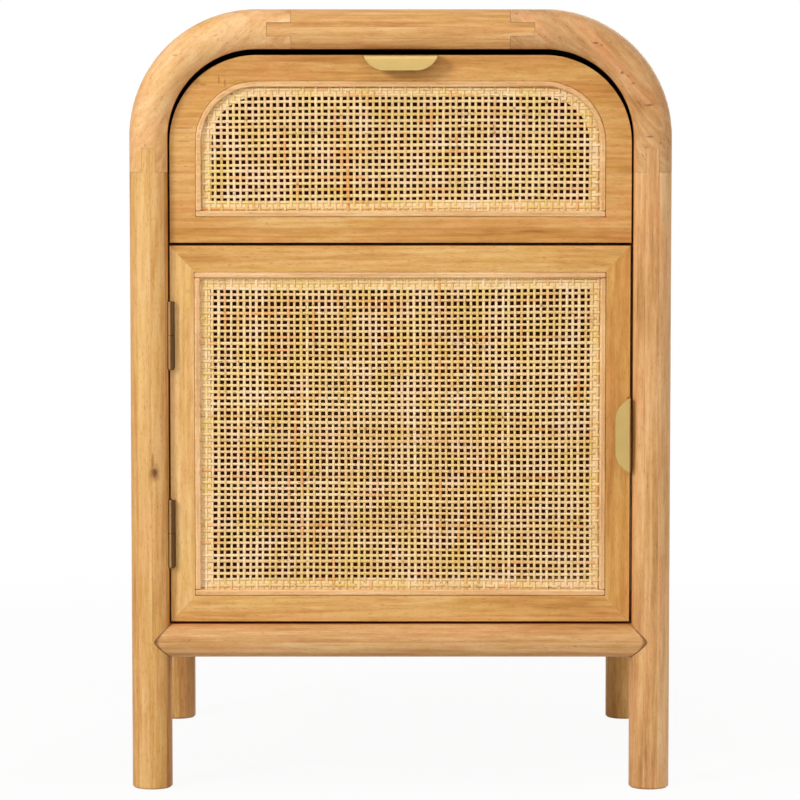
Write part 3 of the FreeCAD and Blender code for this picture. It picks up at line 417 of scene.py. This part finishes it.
# The hinges' dark patina, and the pale of the painted highlight along their barrels.
ANTIQUE = (srgb(88, 60, 30), srgb(136, 104, 62), srgb(236, 208, 158))
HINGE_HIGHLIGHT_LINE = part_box("hinge_pins")[0].x
HINGE_HIGHLIGHT_WIDTH = 1.2 * MM
STEEL = (srgb(150, 150, 152), srgb(188, 188, 190), srgb(214, 214, 216))
BROWN_PLASTIC = (srgb(92, 64, 42), srgb(108, 76, 50))
PULL_BRUSH_SIZES = (12 * MM, 2 * MM, 0.3 * MM)
PULL_ROUGH = (0.46, 0.56)
SCREW_BRUSH_SIZES = (1 * MM, 1 * MM, 1 * MM)
SCREW_ROUGH = (0.25, 0.4)
STRIKE_BRUSH_SIZES = (8 * MM, 1 * MM, 0.3 * MM)
STRIKE_ROUGH = (0.3, 0.45)
CATCH_ROUGH = (0.4, 0.55)

metals = {
    "satin_brass": brushed_metal("satin_brass", BRASS, PULL_BRUSH_SIZES, PULL_ROUGH),
    # The hinges' brass has a painted highlight along the barrel.
    "antique_brass": brass_with_painted_highlight("antique_brass", ANTIQUE, HINGE_HIGHLIGHT_LINE, HINGE_HIGHLIGHT_WIDTH),
    "screw_steel": brushed_metal("screw_steel", STEEL, SCREW_BRUSH_SIZES, SCREW_ROUGH),
    "strike_steel": brushed_metal("strike_steel", STEEL, STRIKE_BRUSH_SIZES, STRIKE_ROUGH),
    "catch_plastic": moulded_plastic("catch_plastic", BROWN_PLASTIC, CATCH_ROUGH),
}


# Woven cane

# Pitches of the upright and the level strands, and the middle of one hole from the panel's middle,
# in X and Z
DOOR_PITCHES = (5.28 * MM, 5.1 * MM)
DOOR_HOLE = (-1.1 * MM, 2.1 * MM)
DRAWER_PITCHES = (5.27 * MM, 5.16 * MM)
DRAWER_HOLE = (1.6 * MM, 0.1 * MM)
STRAND_WIDTH = 2.42 * MM
UPRIGHT_WIDTH_SHARE = 0.93
STRAND_THICKNESS = 0.54 * MM
WEAVE_SWING = 0.28 * MM
FLAT_SHARE = 0.4
WIDTH_SPREAD_SHARE = 0.13
PLACE_SPREAD = 0.24 * MM
WANDER = 0.16 * MM
WANDER_LENGTHS = (70 * MM, 160 * MM)
DRIFT = 0.7 * MM
DRIFT_LENGTHS = (620 * MM, 480 * MM)
CANE_EDGE = 1.9 * MM
# The section of a strand, as shares of its half width and half thickness
SECTION_SHARES = ((-1, 0), (-0.62, -1), (0.62, -1), (1, 0), (0.62, 1), (-0.62, 1))
CANE_BRIGHT = (srgb(202, 152, 84), srgb(228, 188, 122), srgb(240, 206, 144), srgb(250, 228, 184))
CANE_ORANGE = srgb(228, 150, 70)
CANE_GREEN = srgb(226, 192, 92)
CANE_PINK = srgb(246, 212, 178)
CANE_SPECK = srgb(122, 72, 30)
# Sizes of the noises along a strand and over the sheet
STRETCH_SIZES = (9 * MM, 9 * MM, 70 * MM)
CANE_FIBRE_SIZES = (0.35 * MM, 0.35 * MM, 12 * MM)
HUE_SIZES = (20 * MM, 20 * MM, 46 * MM)
GRIT_SIZES = (1.4 * MM, 1.4 * MM, 3.5 * MM)
PATCH_SIZES = (16 * MM, 16 * MM, 16 * MM)
CLUSTER_SIZES = (34 * MM, 34 * MM, 14 * MM)
# How far the noise of one strand lies from that of another
STRAND_SLIDE = 50.0
STRAND_WEIGHT = 0.42
STRETCH_WEIGHT = 0.9
CANE_FIBRE_WEIGHT = 0.5
CANE_MIDDLE_TONE = 0.52
# Tints of the cane: their noise, where it turns from none to all of the tint, how much shows, and the colour
CANE_TINTS = (
    ("patch", (0.52, 0.7), 0.5, CANE_GREEN),
    ("patch", (0.48, 0.3), 0.5, CANE_PINK),
    ("hue", (0.56, 0.76), 0.7, CANE_ORANGE),
    ("hue", (0.42, 0.24), 0.5, CANE_GREEN),
)
CLUSTER_RANGE = (0.5, 0.68)
CLUSTER_RISE = 0.09
SPECK_RANGE = (0.66, 0.76)
SPECK_SHARE = 0.7
CANE_FIBRE_RISE = 1.0
SPECK_RISE = -0.5
CANE_DEPTH = 0.06 * MM
CANE_ROUGH = (0.42, 0.56)


def cane_material(name, grain):
    """Split cane: each strand has its own tone, with fine fibres and brown specks along it."""
    g = Graph(name)
    place = g.place()
    laid = g.node("ShaderNodeMapping", {"Vector": place, "Rotation": GRAIN_TURNS[grain]})
    strand = g.node("ShaderNodeAttribute", output="Fac", attribute_name="strand_tone")
    slide = g.node("ShaderNodeCombineXYZ", {"Y": g.math("MULTIPLY", strand, STRAND_SLIDE)})
    own = g.vector("ADD", laid, slide)
    stretch = g.noise(own, STRETCH_SIZES, detail=2.0)
    fibre = g.noise(own, CANE_FIBRE_SIZES, detail=2.0)
    noises = {"hue": g.noise(own, HUE_SIZES, detail=1.0), "patch": g.noise(place, PATCH_SIZES, detail=1.0)}
    cluster = g.between(g.noise(place, CLUSTER_SIZES, detail=1.0), *CLUSTER_RANGE, 0.0, CLUSTER_RISE)
    grit = g.noise(own, GRIT_SIZES, detail=2.0)
    speck = g.between(g.math("ADD", grit, cluster), *SPECK_RANGE)
    terms = [
        (strand, NOISE_MIDDLE, STRAND_WEIGHT),
        (stretch, NOISE_MIDDLE, STRETCH_WEIGHT),
        (fibre, NOISE_MIDDLE, CANE_FIBRE_WEIGHT),
    ]
    colour = g.ramp(g.math("ADD", g.weighed(terms), CANE_MIDDLE_TONE), CANE_BRIGHT, STREAK_PLACES)
    for noise, span, share, tint in CANE_TINTS:
        colour = g.mix(g.between(noises[noise], *span, 0.0, share), colour, tint)
    colour = g.mix(g.math("MULTIPLY", speck, SPECK_SHARE), colour, CANE_SPECK)
    g.bump(g.weighed([(fibre, NOISE_MIDDLE, CANE_FIBRE_RISE), (speck, 0.0, SPECK_RISE)]), CANE_DEPTH)
    return g.finish(Base_Color=colour, Roughness=g.between(fibre, *NOISE_SPAN, *CANE_ROUGH))


class Strand:
    """One strand of the weave: where it lies across, how wide it is and how it wanders."""

    def __init__(self, rng, place, width):
        self.place = place + rng.uniform(-1, 1) * PLACE_SPREAD
        self.nominal = place
        self.half_width = width / 2 * (1 + rng.uniform(-1, 1) * WIDTH_SPREAD_SHARE)
        self.wave = rng.uniform(*WANDER_LENGTHS)
        self.phase = rng.uniform(0, 2 * math.pi)
        self.tone = rng.random()

    def across(self, along):
        """Its place at a point along it: it wanders by itself, and drifts with its neighbours."""
        wander = WANDER * math.sin(2 * math.pi * along / self.wave + self.phase)
        drift = DRIFT * math.sin(2 * math.pi * (along / DRIFT_LENGTHS[0] + self.place / DRIFT_LENGTHS[1]))
        return self.place + wander + drift


def strand_places(low, high, hole, pitch):
    """Places of strands at one pitch between two edges, around the middle of one hole."""
    first = math.ceil((low - hole) / pitch - 0.5)
    last = math.floor((high - hole) / pitch - 0.5)
    return [hole + (number + 0.5) * pitch for number in range(first, last + 1)]


def add_strand(mesh_data, strand, others, reach, level, side):
    """Adds a strand that goes over and under the others between the two ends of its reach."""
    low, high = reach
    points, faces, tones = mesh_data
    rings = [(low, 0.0)]
    for number, other in others:
        swing = WEAVE_SWING * side * (1 if number % 2 else -1)
        centre = other.across(strand.place)
        for end in (-1, 1):
            along = centre + end * FLAT_SHARE * STRAND_WIDTH
            if low < along < high:
                rings.append((along, swing))
    rings.append((high, 0.0))
    first = len(points)
    count = len(SECTION_SHARES)
    for along, swing in rings:
        middle = strand.across(along)
        for wide, thick in SECTION_SHARES:
            place = middle + wide * strand.half_width
            depth = level + swing + thick * STRAND_THICKNESS / 2
            points.append((place, depth, along))
            tones.append(strand.tone)
    for ring in range(len(rings) - 1):
        start = first + ring * count
        for corner in range(count):
            following = (corner + 1) % count
            beyond = start + count
            faces.append((start + corner, start + following, beyond + following, beyond + corner))
    faces.append(tuple(first + corner for corner in reversed(range(count))))
    faces.append(tuple(len(points) - count + corner for corner in range(count)))


def weave(name, node, body, seed, pitches, hole, reach_at, width_at):
    """A sheet of square open weave in place of a cane panel.

    pitches are those of its upright and level strands, and hole is the middle of one hole from the panel's
    middle. reach_at gives the low and high end of an upright strand at its X, width_at those of a level
    strand at its Z.
    """
    rng = random.Random(seed)
    low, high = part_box(node)
    level = (low.y + high.y) / 2
    middle = (low + high) / 2
    upright_places = strand_places(low.x + CANE_EDGE, high.x - CANE_EDGE, middle.x + hole[0], pitches[0])
    level_places = strand_places(low.z + CANE_EDGE, high.z - CANE_EDGE, middle.z + hole[1], pitches[1])
    uprights = [Strand(rng, x, STRAND_WIDTH * UPRIGHT_WIDTH_SHARE) for x in upright_places]
    levels = [Strand(rng, z, STRAND_WIDTH) for z in level_places]
    upright_data = ([], [], [])
    for number, strand in enumerate(uprights):
        crossings = [(number + other, levels[other]) for other in range(len(levels))]
        add_strand(upright_data, strand, crossings, reach_at(strand.nominal), level, 1)
    level_data = ([], [], [])
    for number, strand in enumerate(levels):
        crossings = [(number + other, uprights[other]) for other in range(len(uprights))]
        add_strand(level_data, strand, crossings, width_at(strand.nominal), level, -1)

    points = upright_data[0] + [(z, y, x) for x, y, z in level_data[0]]
    shift = len(upright_data[0])
    faces = upright_data[1] + [tuple(shift + corner for corner in reversed(face)) for face in level_data[1]]
    mesh = bpy.data.meshes.new(name)
    mesh.from_pydata(points, [], faces)
    tone = mesh.attributes.new("strand_tone", "FLOAT", "POINT")
    tone.data.foreach_set("value", upright_data[2] + level_data[2])
    mesh.materials.append(cane_material(name + "_upright", "up"))
    mesh.materials.append(cane_material(name + "_level", "across"))
    for polygon in mesh.polygons:
        polygon.material_index = 0 if polygon.index < len(upright_data[1]) else 1
        polygon.use_smooth = True
    sheet = bpy.data.objects.new(name, mesh)
    bpy.context.scene.collection.objects.link(sheet)
    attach(sheet, body)
    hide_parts(node)


ARCH_RADIUS = 50.7 * MM
DOOR_SEED = 11
DRAWER_SEED = 23


def straight_reach(node, axis):
    """The ends of the strands of a rectangular panel, under its beads."""
    low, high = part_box(node)
    ends = (low[axis] + CANE_EDGE, high[axis] - CANE_EDGE)
    return lambda place: ends


def arch_drop(off, radius):
    """How far the edge of the arch has fallen at this distance into its rounded corner."""
    if off <= 0:
        return 0.0
    return radius - math.sqrt(max(radius ** 2 - off ** 2, 0.0))


def arched_height(node):
    """The ends of the upright strands of the arched panel."""
    low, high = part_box(node)
    radius = ARCH_RADIUS - CANE_EDGE
    straight = high.x - ARCH_RADIUS

    def ends(x):
        drop = arch_drop(abs(x) + STRAND_WIDTH / 2 - straight, radius)
        return low.z + CANE_EDGE, high.z - CANE_EDGE - drop
    return ends


def arched_width(node):
    """The ends of the level strands of the arched panel."""
    low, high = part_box(node)
    radius = ARCH_RADIUS - CANE_EDGE
    straight = high.z - ARCH_RADIUS

    def ends(z):
        drop = arch_drop(z + STRAND_WIDTH / 2 - straight, radius)
        return low.x + CANE_EDGE + drop, high.x - CANE_EDGE - drop
    return ends


weave("door_cane_weave", "door_cane", "door", DOOR_SEED, DOOR_PITCHES, DOOR_HOLE,
      straight_reach("door_cane", 2), straight_reach("door_cane", 0))
weave("drawer_cane_weave", "drawer_cane", "drawer", DRAWER_SEED, DRAWER_PITCHES, DRAWER_HOLE,
      arched_height("drawer_cane"), arched_width("drawer_cane"))


# What each node is made of

POST_STRIP = 11.5 * MM
RAIL_STRIP = 9.5 * MM
BOARD_STRIP = 46 * MM
# Knots and flecks that the photograph shows: place, radius, length along Z, darkness
LEFT_POST_KNOTS = (
    ((-204.7 * MM, -199 * MM, 266 * MM), 6.5 * MM, 9.5 * MM, 0.4),
    ((-204.7 * MM, -199 * MM, 266 * MM), 3.6 * MM, 5.0 * MM, 0.9),
    ((-206 * MM, -199.5 * MM, 276 * MM), 1.6 * MM, 10 * MM, 0.5),
)
RIGHT_BEND_FLECKS = (
    ((160.7 * MM, -199 * MM, 622 * MM), 4.0 * MM, 1.2 * MM, 0.7),
    ((183 * MM, -198 * MM, 598 * MM), 2.4 * MM, 2.2 * MM, 0.7),
    ((192 * MM, -199 * MM, 589 * MM), 1.8 * MM, 1.4 * MM, 0.6),
    ((204.5 * MM, -199.5 * MM, 571 * MM), 4.4 * MM, 1.3 * MM, 0.7),
    ((206 * MM, -199.5 * MM, 545 * MM), 4.2 * MM, 1.0 * MM, 0.6),
    ((207 * MM, -199.5 * MM, 533 * MM), 3.8 * MM, 1.0 * MM, 0.55),
)
LEFT_BEND_FLECKS = (
    ((-168.5 * MM, -199 * MM, 597 * MM), 2.0 * MM, 2.0 * MM, 0.45),
    ((-186 * MM, -199 * MM, 612 * MM), 3.6 * MM, 1.4 * MM, 0.35),
)
DRAWER_FRONT_FLECKS = (
    ((-150.5 * MM, -186 * MM, 592 * MM), 1.1 * MM, 5.0 * MM, 0.5),
    ((-145.5 * MM, -186 * MM, 589 * MM), 1.1 * MM, 5.0 * MM, 0.45),
    ((-164 * MM, -186 * MM, 588 * MM), 4.0 * MM, 1.4 * MM, 0.4),
    ((-170 * MM, -186 * MM, 591 * MM), 5.0 * MM, 5.5 * MM, 0.25),
    ((-181 * MM, -186 * MM, 552 * MM), 9.0 * MM, 1.2 * MM, 0.35),
    ((-181 * MM, -186 * MM, 541 * MM), 9.0 * MM, 1.0 * MM, 0.35),
)
RAIL_KNOTS = (
    ((146 * MM, -199 * MM, 121 * MM), 3.0 * MM, 1.4 * MM, 0.45),
    ((-176 * MM, -199 * MM, 126 * MM), 2.2 * MM, 1.2 * MM, 0.45),
)
# The rebate behind the cane is raw and pale, and painted paler still as painted light that lifts the shade
# of the beads and strands; the face of the board behind the drawer's cane is painted dark, a painted shade
# for its holes.
REBATE_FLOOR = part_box("door_cane")[1].y
DOOR_MEMBERS = ("door_bottom_rail", "door_top_rail", "door_pull_stile", "door_hinge_stile")
REBATED = ("drawer_front",) + DOOR_MEMBERS

# The wood of each node: grain, tone, tint from yellow to warm, width of its staves, strength of its flecks
WOODS = {
    "front_left_post": ("up", "left_post", 0.35, POST_STRIP, 0.15),
    "front_right_post": ("up", "right_post", 0.7, POST_STRIP, 0.15),
    # The back legs' tones carry painted light and shade: darker on the lit one, paler on the shaded one.
    "back_left_post": ("up", "left_back_leg", 0.5, POST_STRIP, 0.12),
    "back_right_post": ("up", "right_back_leg", 0.5, POST_STRIP, 0.12),
    "front_left_corner": ("left_bend", "left_bend", 0.4, None, 0.25),
    "front_right_corner": ("right_bend", "right_bend", 0.8, None, 0.5),
    "back_left_corner": ("left_bend", "board", 0.5, None, 0.3),
    "back_right_corner": ("right_bend", "board", 0.5, None, 0.3),
    "front_top_rail": ("across", "top_rail", 0.5, RAIL_STRIP, 0.12),
    "back_top_rail": ("across", "board", 0.5, RAIL_STRIP, 0.0),
    "front_bottom_rail": ("across", "low_rail", 0.6, RAIL_STRIP, 0.15),
    "back_bottom_rail": ("across", "board", 0.5, RAIL_STRIP, 0.0),
    "left_bottom_rail": ("deep", "board", 0.5, RAIL_STRIP, 0.0),
    "right_bottom_rail": ("deep", "board", 0.5, RAIL_STRIP, 0.0),
    "rail_dowels": ("across", "plain", 0.5, None, 0.0),
    "left_side_panel": ("up_side", "board", 0.45, BOARD_STRIP, 0.0),
    "right_side_panel": ("up_side", "board", 0.5, BOARD_STRIP, 0.0),
    "left_shoulder_panel": ("deep", "board", 0.5, BOARD_STRIP, 0.0),
    "right_shoulder_panel": ("deep", "board", 0.5, BOARD_STRIP, 0.0),
    "top_panel": ("across_level", "board", 0.5, BOARD_STRIP, 0.0),
    "back_panel": ("up", "board", 0.5, BOARD_STRIP, 0.0),
    # The cupboard's floor and divider take the darker tone of painted shade.
    "cupboard_floor": ("across_level", "inside", 0.6, BOARD_STRIP, 0.0),
    "drawer_divider": ("across_level", "inside", 0.6, BOARD_STRIP, 0.0),
    "left_drawer_runner": ("deep", "plain", 0.5, None, 0.0),
    "right_drawer_runner": ("deep", "plain", 0.5, None, 0.0),
    "drawer_front": ("across", "drawer", 0.6, BOARD_STRIP, 0.0),
    "drawer_arch_bead": ("across", "drawer_bead", 0.6, None, 0.0),
    "drawer_bottom_bead": ("across", "drawer_bead", 0.5, None, 0.0),
    "drawer_inner_front": ("across", "plain", 0.5, None, 0.0),
    "drawer_left_side": ("deep", "plain", 0.5, None, 0.0),
    "drawer_right_side": ("deep", "plain", 0.5, None, 0.0),
    "drawer_base": ("across_level", "plain", 0.4, None, 0.0),
    "drawer_back": ("across", "plain", 0.5, None, 0.0),
    "door_bottom_rail": ("across", "door", 0.5, None, 0.0),
    "door_pull_stile": ("up", "pull_stile", 0.7, None, 0.0),
    "door_top_rail": ("across", "door", 0.3, None, 0.0),
    "door_hinge_stile": ("up", "hinge_stile", 0.4, None, 0.0),
    "door_top_bead": ("across", "bead", 0.6, None, 0.0),
    "door_bottom_bead": ("across", "bead", 0.6, None, 0.0),
    "door_left_bead": ("up", "bead", 0.6, None, 0.0),
    "door_right_bead": ("up", "bead", 0.6, None, 0.0),
}
MARKS = {
    "front_left_post": LEFT_POST_KNOTS,
    "front_right_corner": RIGHT_BEND_FLECKS,
    "front_left_corner": LEFT_BEND_FLECKS,
    "drawer_front": DRAWER_FRONT_FLECKS,
    "front_bottom_rail": RAIL_KNOTS,
}
# The rebates behind the cane are raw and pale, with painted light.
PAINTED = {node: (REBATE_FLOOR, PALE_RAW_AND_PAINTED_LIGHT, "MIX") for node in REBATED}
# Painted shade: the front face of the drawer's inner front is dark brown where the cane's holes show it.
PAINTED["drawer_inner_front"] = (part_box("drawer_inner_front")[0].y, CANE_BACKING_SHADE, "MIX")
# Painted shade on the inner face of the back panel.
PAINTED["back_panel"] = (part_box("back_panel")[0].y, INNER_FACE_SHADE, "MULTIPLY")
DULL_BOARDS = (
    "drawer_inner_front", "top_panel", "left_shoulder_panel", "right_shoulder_panel", "left_side_panel",
    "right_side_panel", "back_panel", "cupboard_floor", "drawer_divider",
)
GLOSSES = {node: DULL_GLOSS for node in DULL_BOARDS}

METALS = {
    "drawer_pull": "satin_brass",
    "door_pull": "satin_brass",
    "hinge_post_leaves": "antique_brass",
    "hinge_door_leaves": "antique_brass",
    "hinge_pins": "antique_brass",
    "hinge_post_screws": "antique_brass",
    "hinge_door_screws": "antique_brass",
    "runner_screws": "screw_steel",
    "catch_screws": "screw_steel",
    "drawer_front_screws": "screw_steel",
    "drawer_pull_screws": "satin_brass",
    "door_pull_screws": "satin_brass",
    "strike_screws": "screw_steel",
    "catch_strike": "strike_steel",
    "magnetic_catch": "catch_plastic",
}


def dress(node, *materials):
    """Gives a node its material, and one for its eased edges."""
    slots = nodes[node].data.materials
    slots.clear()
    for material in materials:
        slots.append(material)


# Edges are rubbed paler, except on the tubes, whose eased edges are dark: dark glue at their joints, and
# painted shade in the joint lines and at the rims of the feet.
WORN_STEP = 10
WORN_SEED = 50
GLUE_SEED = 51
GLUED_ENDINGS = ("_post", "_corner", "_top_rail", "_bottom_rail")


def worn_edge(tone):
    """The wood of the rubbed edges of one tone, made once."""
    name = tone + "_worn"
    made = bpy.data.materials.get(name)
    if made is None:
        made = wood(name, WORN_SEED, "across", tuple(step + WORN_STEP for step in TONES[tone]))
    return made


# Dark glue at the joints of the tubes, with painted shade in the joint lines and at the rims of the feet.
glue_and_shade_edge = wood("glue_and_shade_edge", GLUE_SEED, "across", JOINT_GLUE_AND_SHADE, gloss=DULL_GLOSS)
for seed, (node, (grain, tone, tint, strip, flecks)) in enumerate(WOODS.items()):
    glued = node.endswith(GLUED_ENDINGS) and not node.startswith("door")
    body = wood(
        node + "_wood", seed, grain, tone, tint, strip, flecks,
        marks=MARKS.get(node, ()),
        painted=PAINTED.get(node),
        coped=glued and node.endswith("_bottom_rail"),
        gloss=GLOSSES.get(node, WOOD_GLOSS),
    )
    dress(node, body, glue_and_shade_edge if glued else worn_edge(tone))
for node, metal in METALS.items():
    dress(node, metals[metal])


# Eased edges

SHARP_ANGLE = math.radians(32)
MERGE_DISTANCE = 0.002 * MM


def clean_normals():
    """A modifier tree that joins split points, so that edges can be eased and round faces stay smooth."""
    tree = bpy.data.node_groups.new("clean_normals", "GeometryNodeTree")
    tree.interface.new_socket("Geometry", in_out="INPUT", socket_type="NodeSocketGeometry")
    tree.interface.new_socket("Geometry", in_out="OUTPUT", socket_type="NodeSocketGeometry")
    enter = tree.nodes.new("NodeGroupInput")
    leave = tree.nodes.new("NodeGroupOutput")
    merge = tree.nodes.new("GeometryNodeMergeByDistance")
    merge.inputs["Distance"].default_value = MERGE_DISTANCE
    angle = tree.nodes.new("GeometryNodeInputMeshEdgeAngle")
    sharp = tree.nodes.new("FunctionNodeCompare")
    sharp.inputs[1].default_value = SHARP_ANGLE
    normals = tree.nodes.new("GeometryNodeSetMeshNormal")
    tree.links.new(enter.outputs[0], merge.inputs["Geometry"])
    tree.links.new(merge.outputs[0], normals.inputs["Mesh"])
    tree.links.new(angle.outputs["Unsigned Angle"], sharp.inputs[0])
    tree.links.new(sharp.outputs[0], normals.inputs["Edge Sharpness"])
    tree.links.new(normals.outputs[0], leave.inputs[0])
    return tree


normals_tree = clean_normals()


def ease(node, width):
    """Rounds the sharp edges of a node a little, as sanding and wear do."""
    joined = nodes[node].modifiers.new("joined", "NODES")
    joined.node_group = normals_tree
    eased = nodes[node].modifiers.new("eased", "BEVEL")
    eased.limit_method = "ANGLE"
    eased.angle_limit = SHARP_ANGLE
    eased.width = width
    eased.segments = EASE_SEGMENTS
    eased.harden_normals = True
    eased.material = len(nodes[node].data.materials) - 1


TUBE_EASE = 0.45 * MM
FRONT_EASE = 0.9 * MM
DOOR_EASE = 0.5 * MM
BEAD_EASE = 1.3 * MM
BOARD_EASE = 0.8 * MM
METAL_EASE = 0.3 * MM
EASE_SEGMENTS = 2

BOARD_ENDINGS = (
    "_panel", "cupboard_floor", "drawer_divider", "_runner", "_side", "drawer_base", "drawer_back",
)
METAL_ENDINGS = ("_pull", "_leaves", "catch_strike", "magnetic_catch")
EASED = (
    (GLUED_ENDINGS, TUBE_EASE),
    (("drawer_front",), FRONT_EASE),
    (("_bead",), BEAD_EASE),
    (BOARD_ENDINGS, BOARD_EASE),
    (METAL_ENDINGS, METAL_EASE),
)
for node in sorted(nodes):
    widths = [width for endings, width in EASED if node.endswith(endings)]
    if node in DOOR_MEMBERS:
        widths = [DOOR_EASE]
    if widths:
        ease(node, widths[0])


# Floor, world and light

FLOOR_SIZE = 60.0
FLOOR_WHITE_SHARES = (0.94, 1.0)
FLOOR_FADE = (0.5, 1.6)
FLOOR_PALES = (srgb(214, 214, 212), srgb(222, 222, 221))
FLOOR_PATCH_SIZES = (0.5, 0.5, 0.5)
FLOOR_ROUGH = 0.9
WORLD_LIGHT = 0.235
# Place, size and power of each lamp
LAMPS = {
    "key_light": ((-2.05, -2.15, 1.7), 0.7, 57.5),
    "fill_light": ((0.2, -3.3, 1.7), 2.2, 21.0),
    "top_light": ((0.0, -1.1, 3.1), 1.6, 20.0),
    "side_light": ((2.8, -1.2, 0.7), 1.2, 15.0),
    "back_light": ((1.3, 2.9, 1.9), 1.6, 42.0),
}
LIGHT_AIM = (0.0, -0.19, 0.34)


def seen_directly(g):
    """1 for rays from the camera and from shiny or clear surfaces, 0 for rays that carry light."""
    path = g.node("ShaderNodeLightPath", output="Is Camera Ray")
    for kind in ("Is Glossy Ray", "Is Transmission Ray"):
        path = g.math("MAXIMUM", path, g.node("ShaderNodeLightPath", output=kind))
    return path


def white_floor():
    """A pale floor that shows as white and keeps a soft shadow of the object."""
    g = Graph("floor_white")
    place = g.place()
    tone = g.noise(place, FLOOR_PATCH_SIZES, detail=2.0)
    g.finish(Base_Color=g.ramp(tone, FLOOR_PALES, NOISE_SPAN), Roughness=FLOOR_ROUGH)
    glow = g.node("ShaderNodeEmission", {"Strength": 1.0})
    distance = g.node("ShaderNodeVectorMath", {0: place}, "Value", operation="LENGTH")
    white = g.between(distance, *FLOOR_FADE, *FLOOR_WHITE_SHARES)
    share = g.math("MULTIPLY", seen_directly(g), white)
    shown = g.node("ShaderNodeMixShader", {0: share, 1: g.shader.outputs[0], 2: glow})
    output = g.tree.nodes["Material Output"]
    g.tree.links.new(shown, output.inputs["Surface"])
    half = FLOOR_SIZE / 2
    mesh = bpy.data.meshes.new("floor")
    corners = [(-half, -half, 0), (half, -half, 0), (half, half, 0), (-half, half, 0)]
    mesh.from_pydata(corners, [], [(0, 1, 2, 3)])
    mesh.materials.append(g.material)
    floor = bpy.data.objects.new("floor", mesh)
    bpy.context.scene.collection.objects.link(floor)


def white_world():
    """An even white surround: white to look at, softer as light."""
    world = bpy.data.worlds.new("white_world")
    bpy.context.scene.world = world
    world.use_nodes = True
    tree = world.node_tree
    background = tree.nodes["Background"]
    background.inputs["Color"].default_value = (1.0, 1.0, 1.0, 1.0)
    path = tree.nodes.new("ShaderNodeLightPath")
    shown = path.outputs["Is Camera Ray"]
    for kind in ("Is Glossy Ray", "Is Transmission Ray"):
        either = tree.nodes.new("ShaderNodeMath")
        either.operation = "MAXIMUM"
        tree.links.new(shown, either.inputs[0])
        tree.links.new(path.outputs[kind], either.inputs[1])
        shown = either.outputs[0]
    strength = tree.nodes.new("ShaderNodeMapRange")
    strength.inputs["To Min"].default_value = WORLD_LIGHT
    tree.links.new(shown, strength.inputs["Value"])
    tree.links.new(strength.outputs[0], background.inputs["Strength"])


def area_light(name, place, size, power):
    """A square lamp that faces the front of the object."""
    lamp = bpy.data.lights.new(name, "AREA")
    lamp.shape = "SQUARE"
    lamp.size = size
    lamp.energy = power
    light = bpy.data.objects.new(name, lamp)
    light.location = place
    aim = [to - start for to, start in zip(LIGHT_AIM, place)]
    level = math.hypot(aim[0], aim[1])
    light.rotation_euler = (math.atan2(level, -aim[2]), 0.0, math.atan2(-aim[0], aim[1]))
    bpy.context.scene.collection.objects.link(light)


white_floor()
white_world()
for name, (place, size, power) in LAMPS.items():
    area_light(name, place, size, power)


# Camera, fitted to the photograph

CAMERA_PLACE = (-0.5 * MM, -3.40116, 0.58147)
CAMERA_DOWN = math.radians(4.544)
CAMERA_LENS = 174.2
CAMERA_SENSOR = 36.0

lens = bpy.data.cameras.new("camera")
lens.lens = CAMERA_LENS
lens.sensor_width = CAMERA_SENSOR
camera = bpy.data.objects.new("camera", lens)
camera.location = CAMERA_PLACE
camera.rotation_euler = (math.radians(90) - CAMERA_DOWN, 0.0, 0.0)
bpy.context.scene.collection.objects.link(camera)
bpy.context.scene.camera = camera
bpy.context.scene.view_settings.view_transform = "Standard"
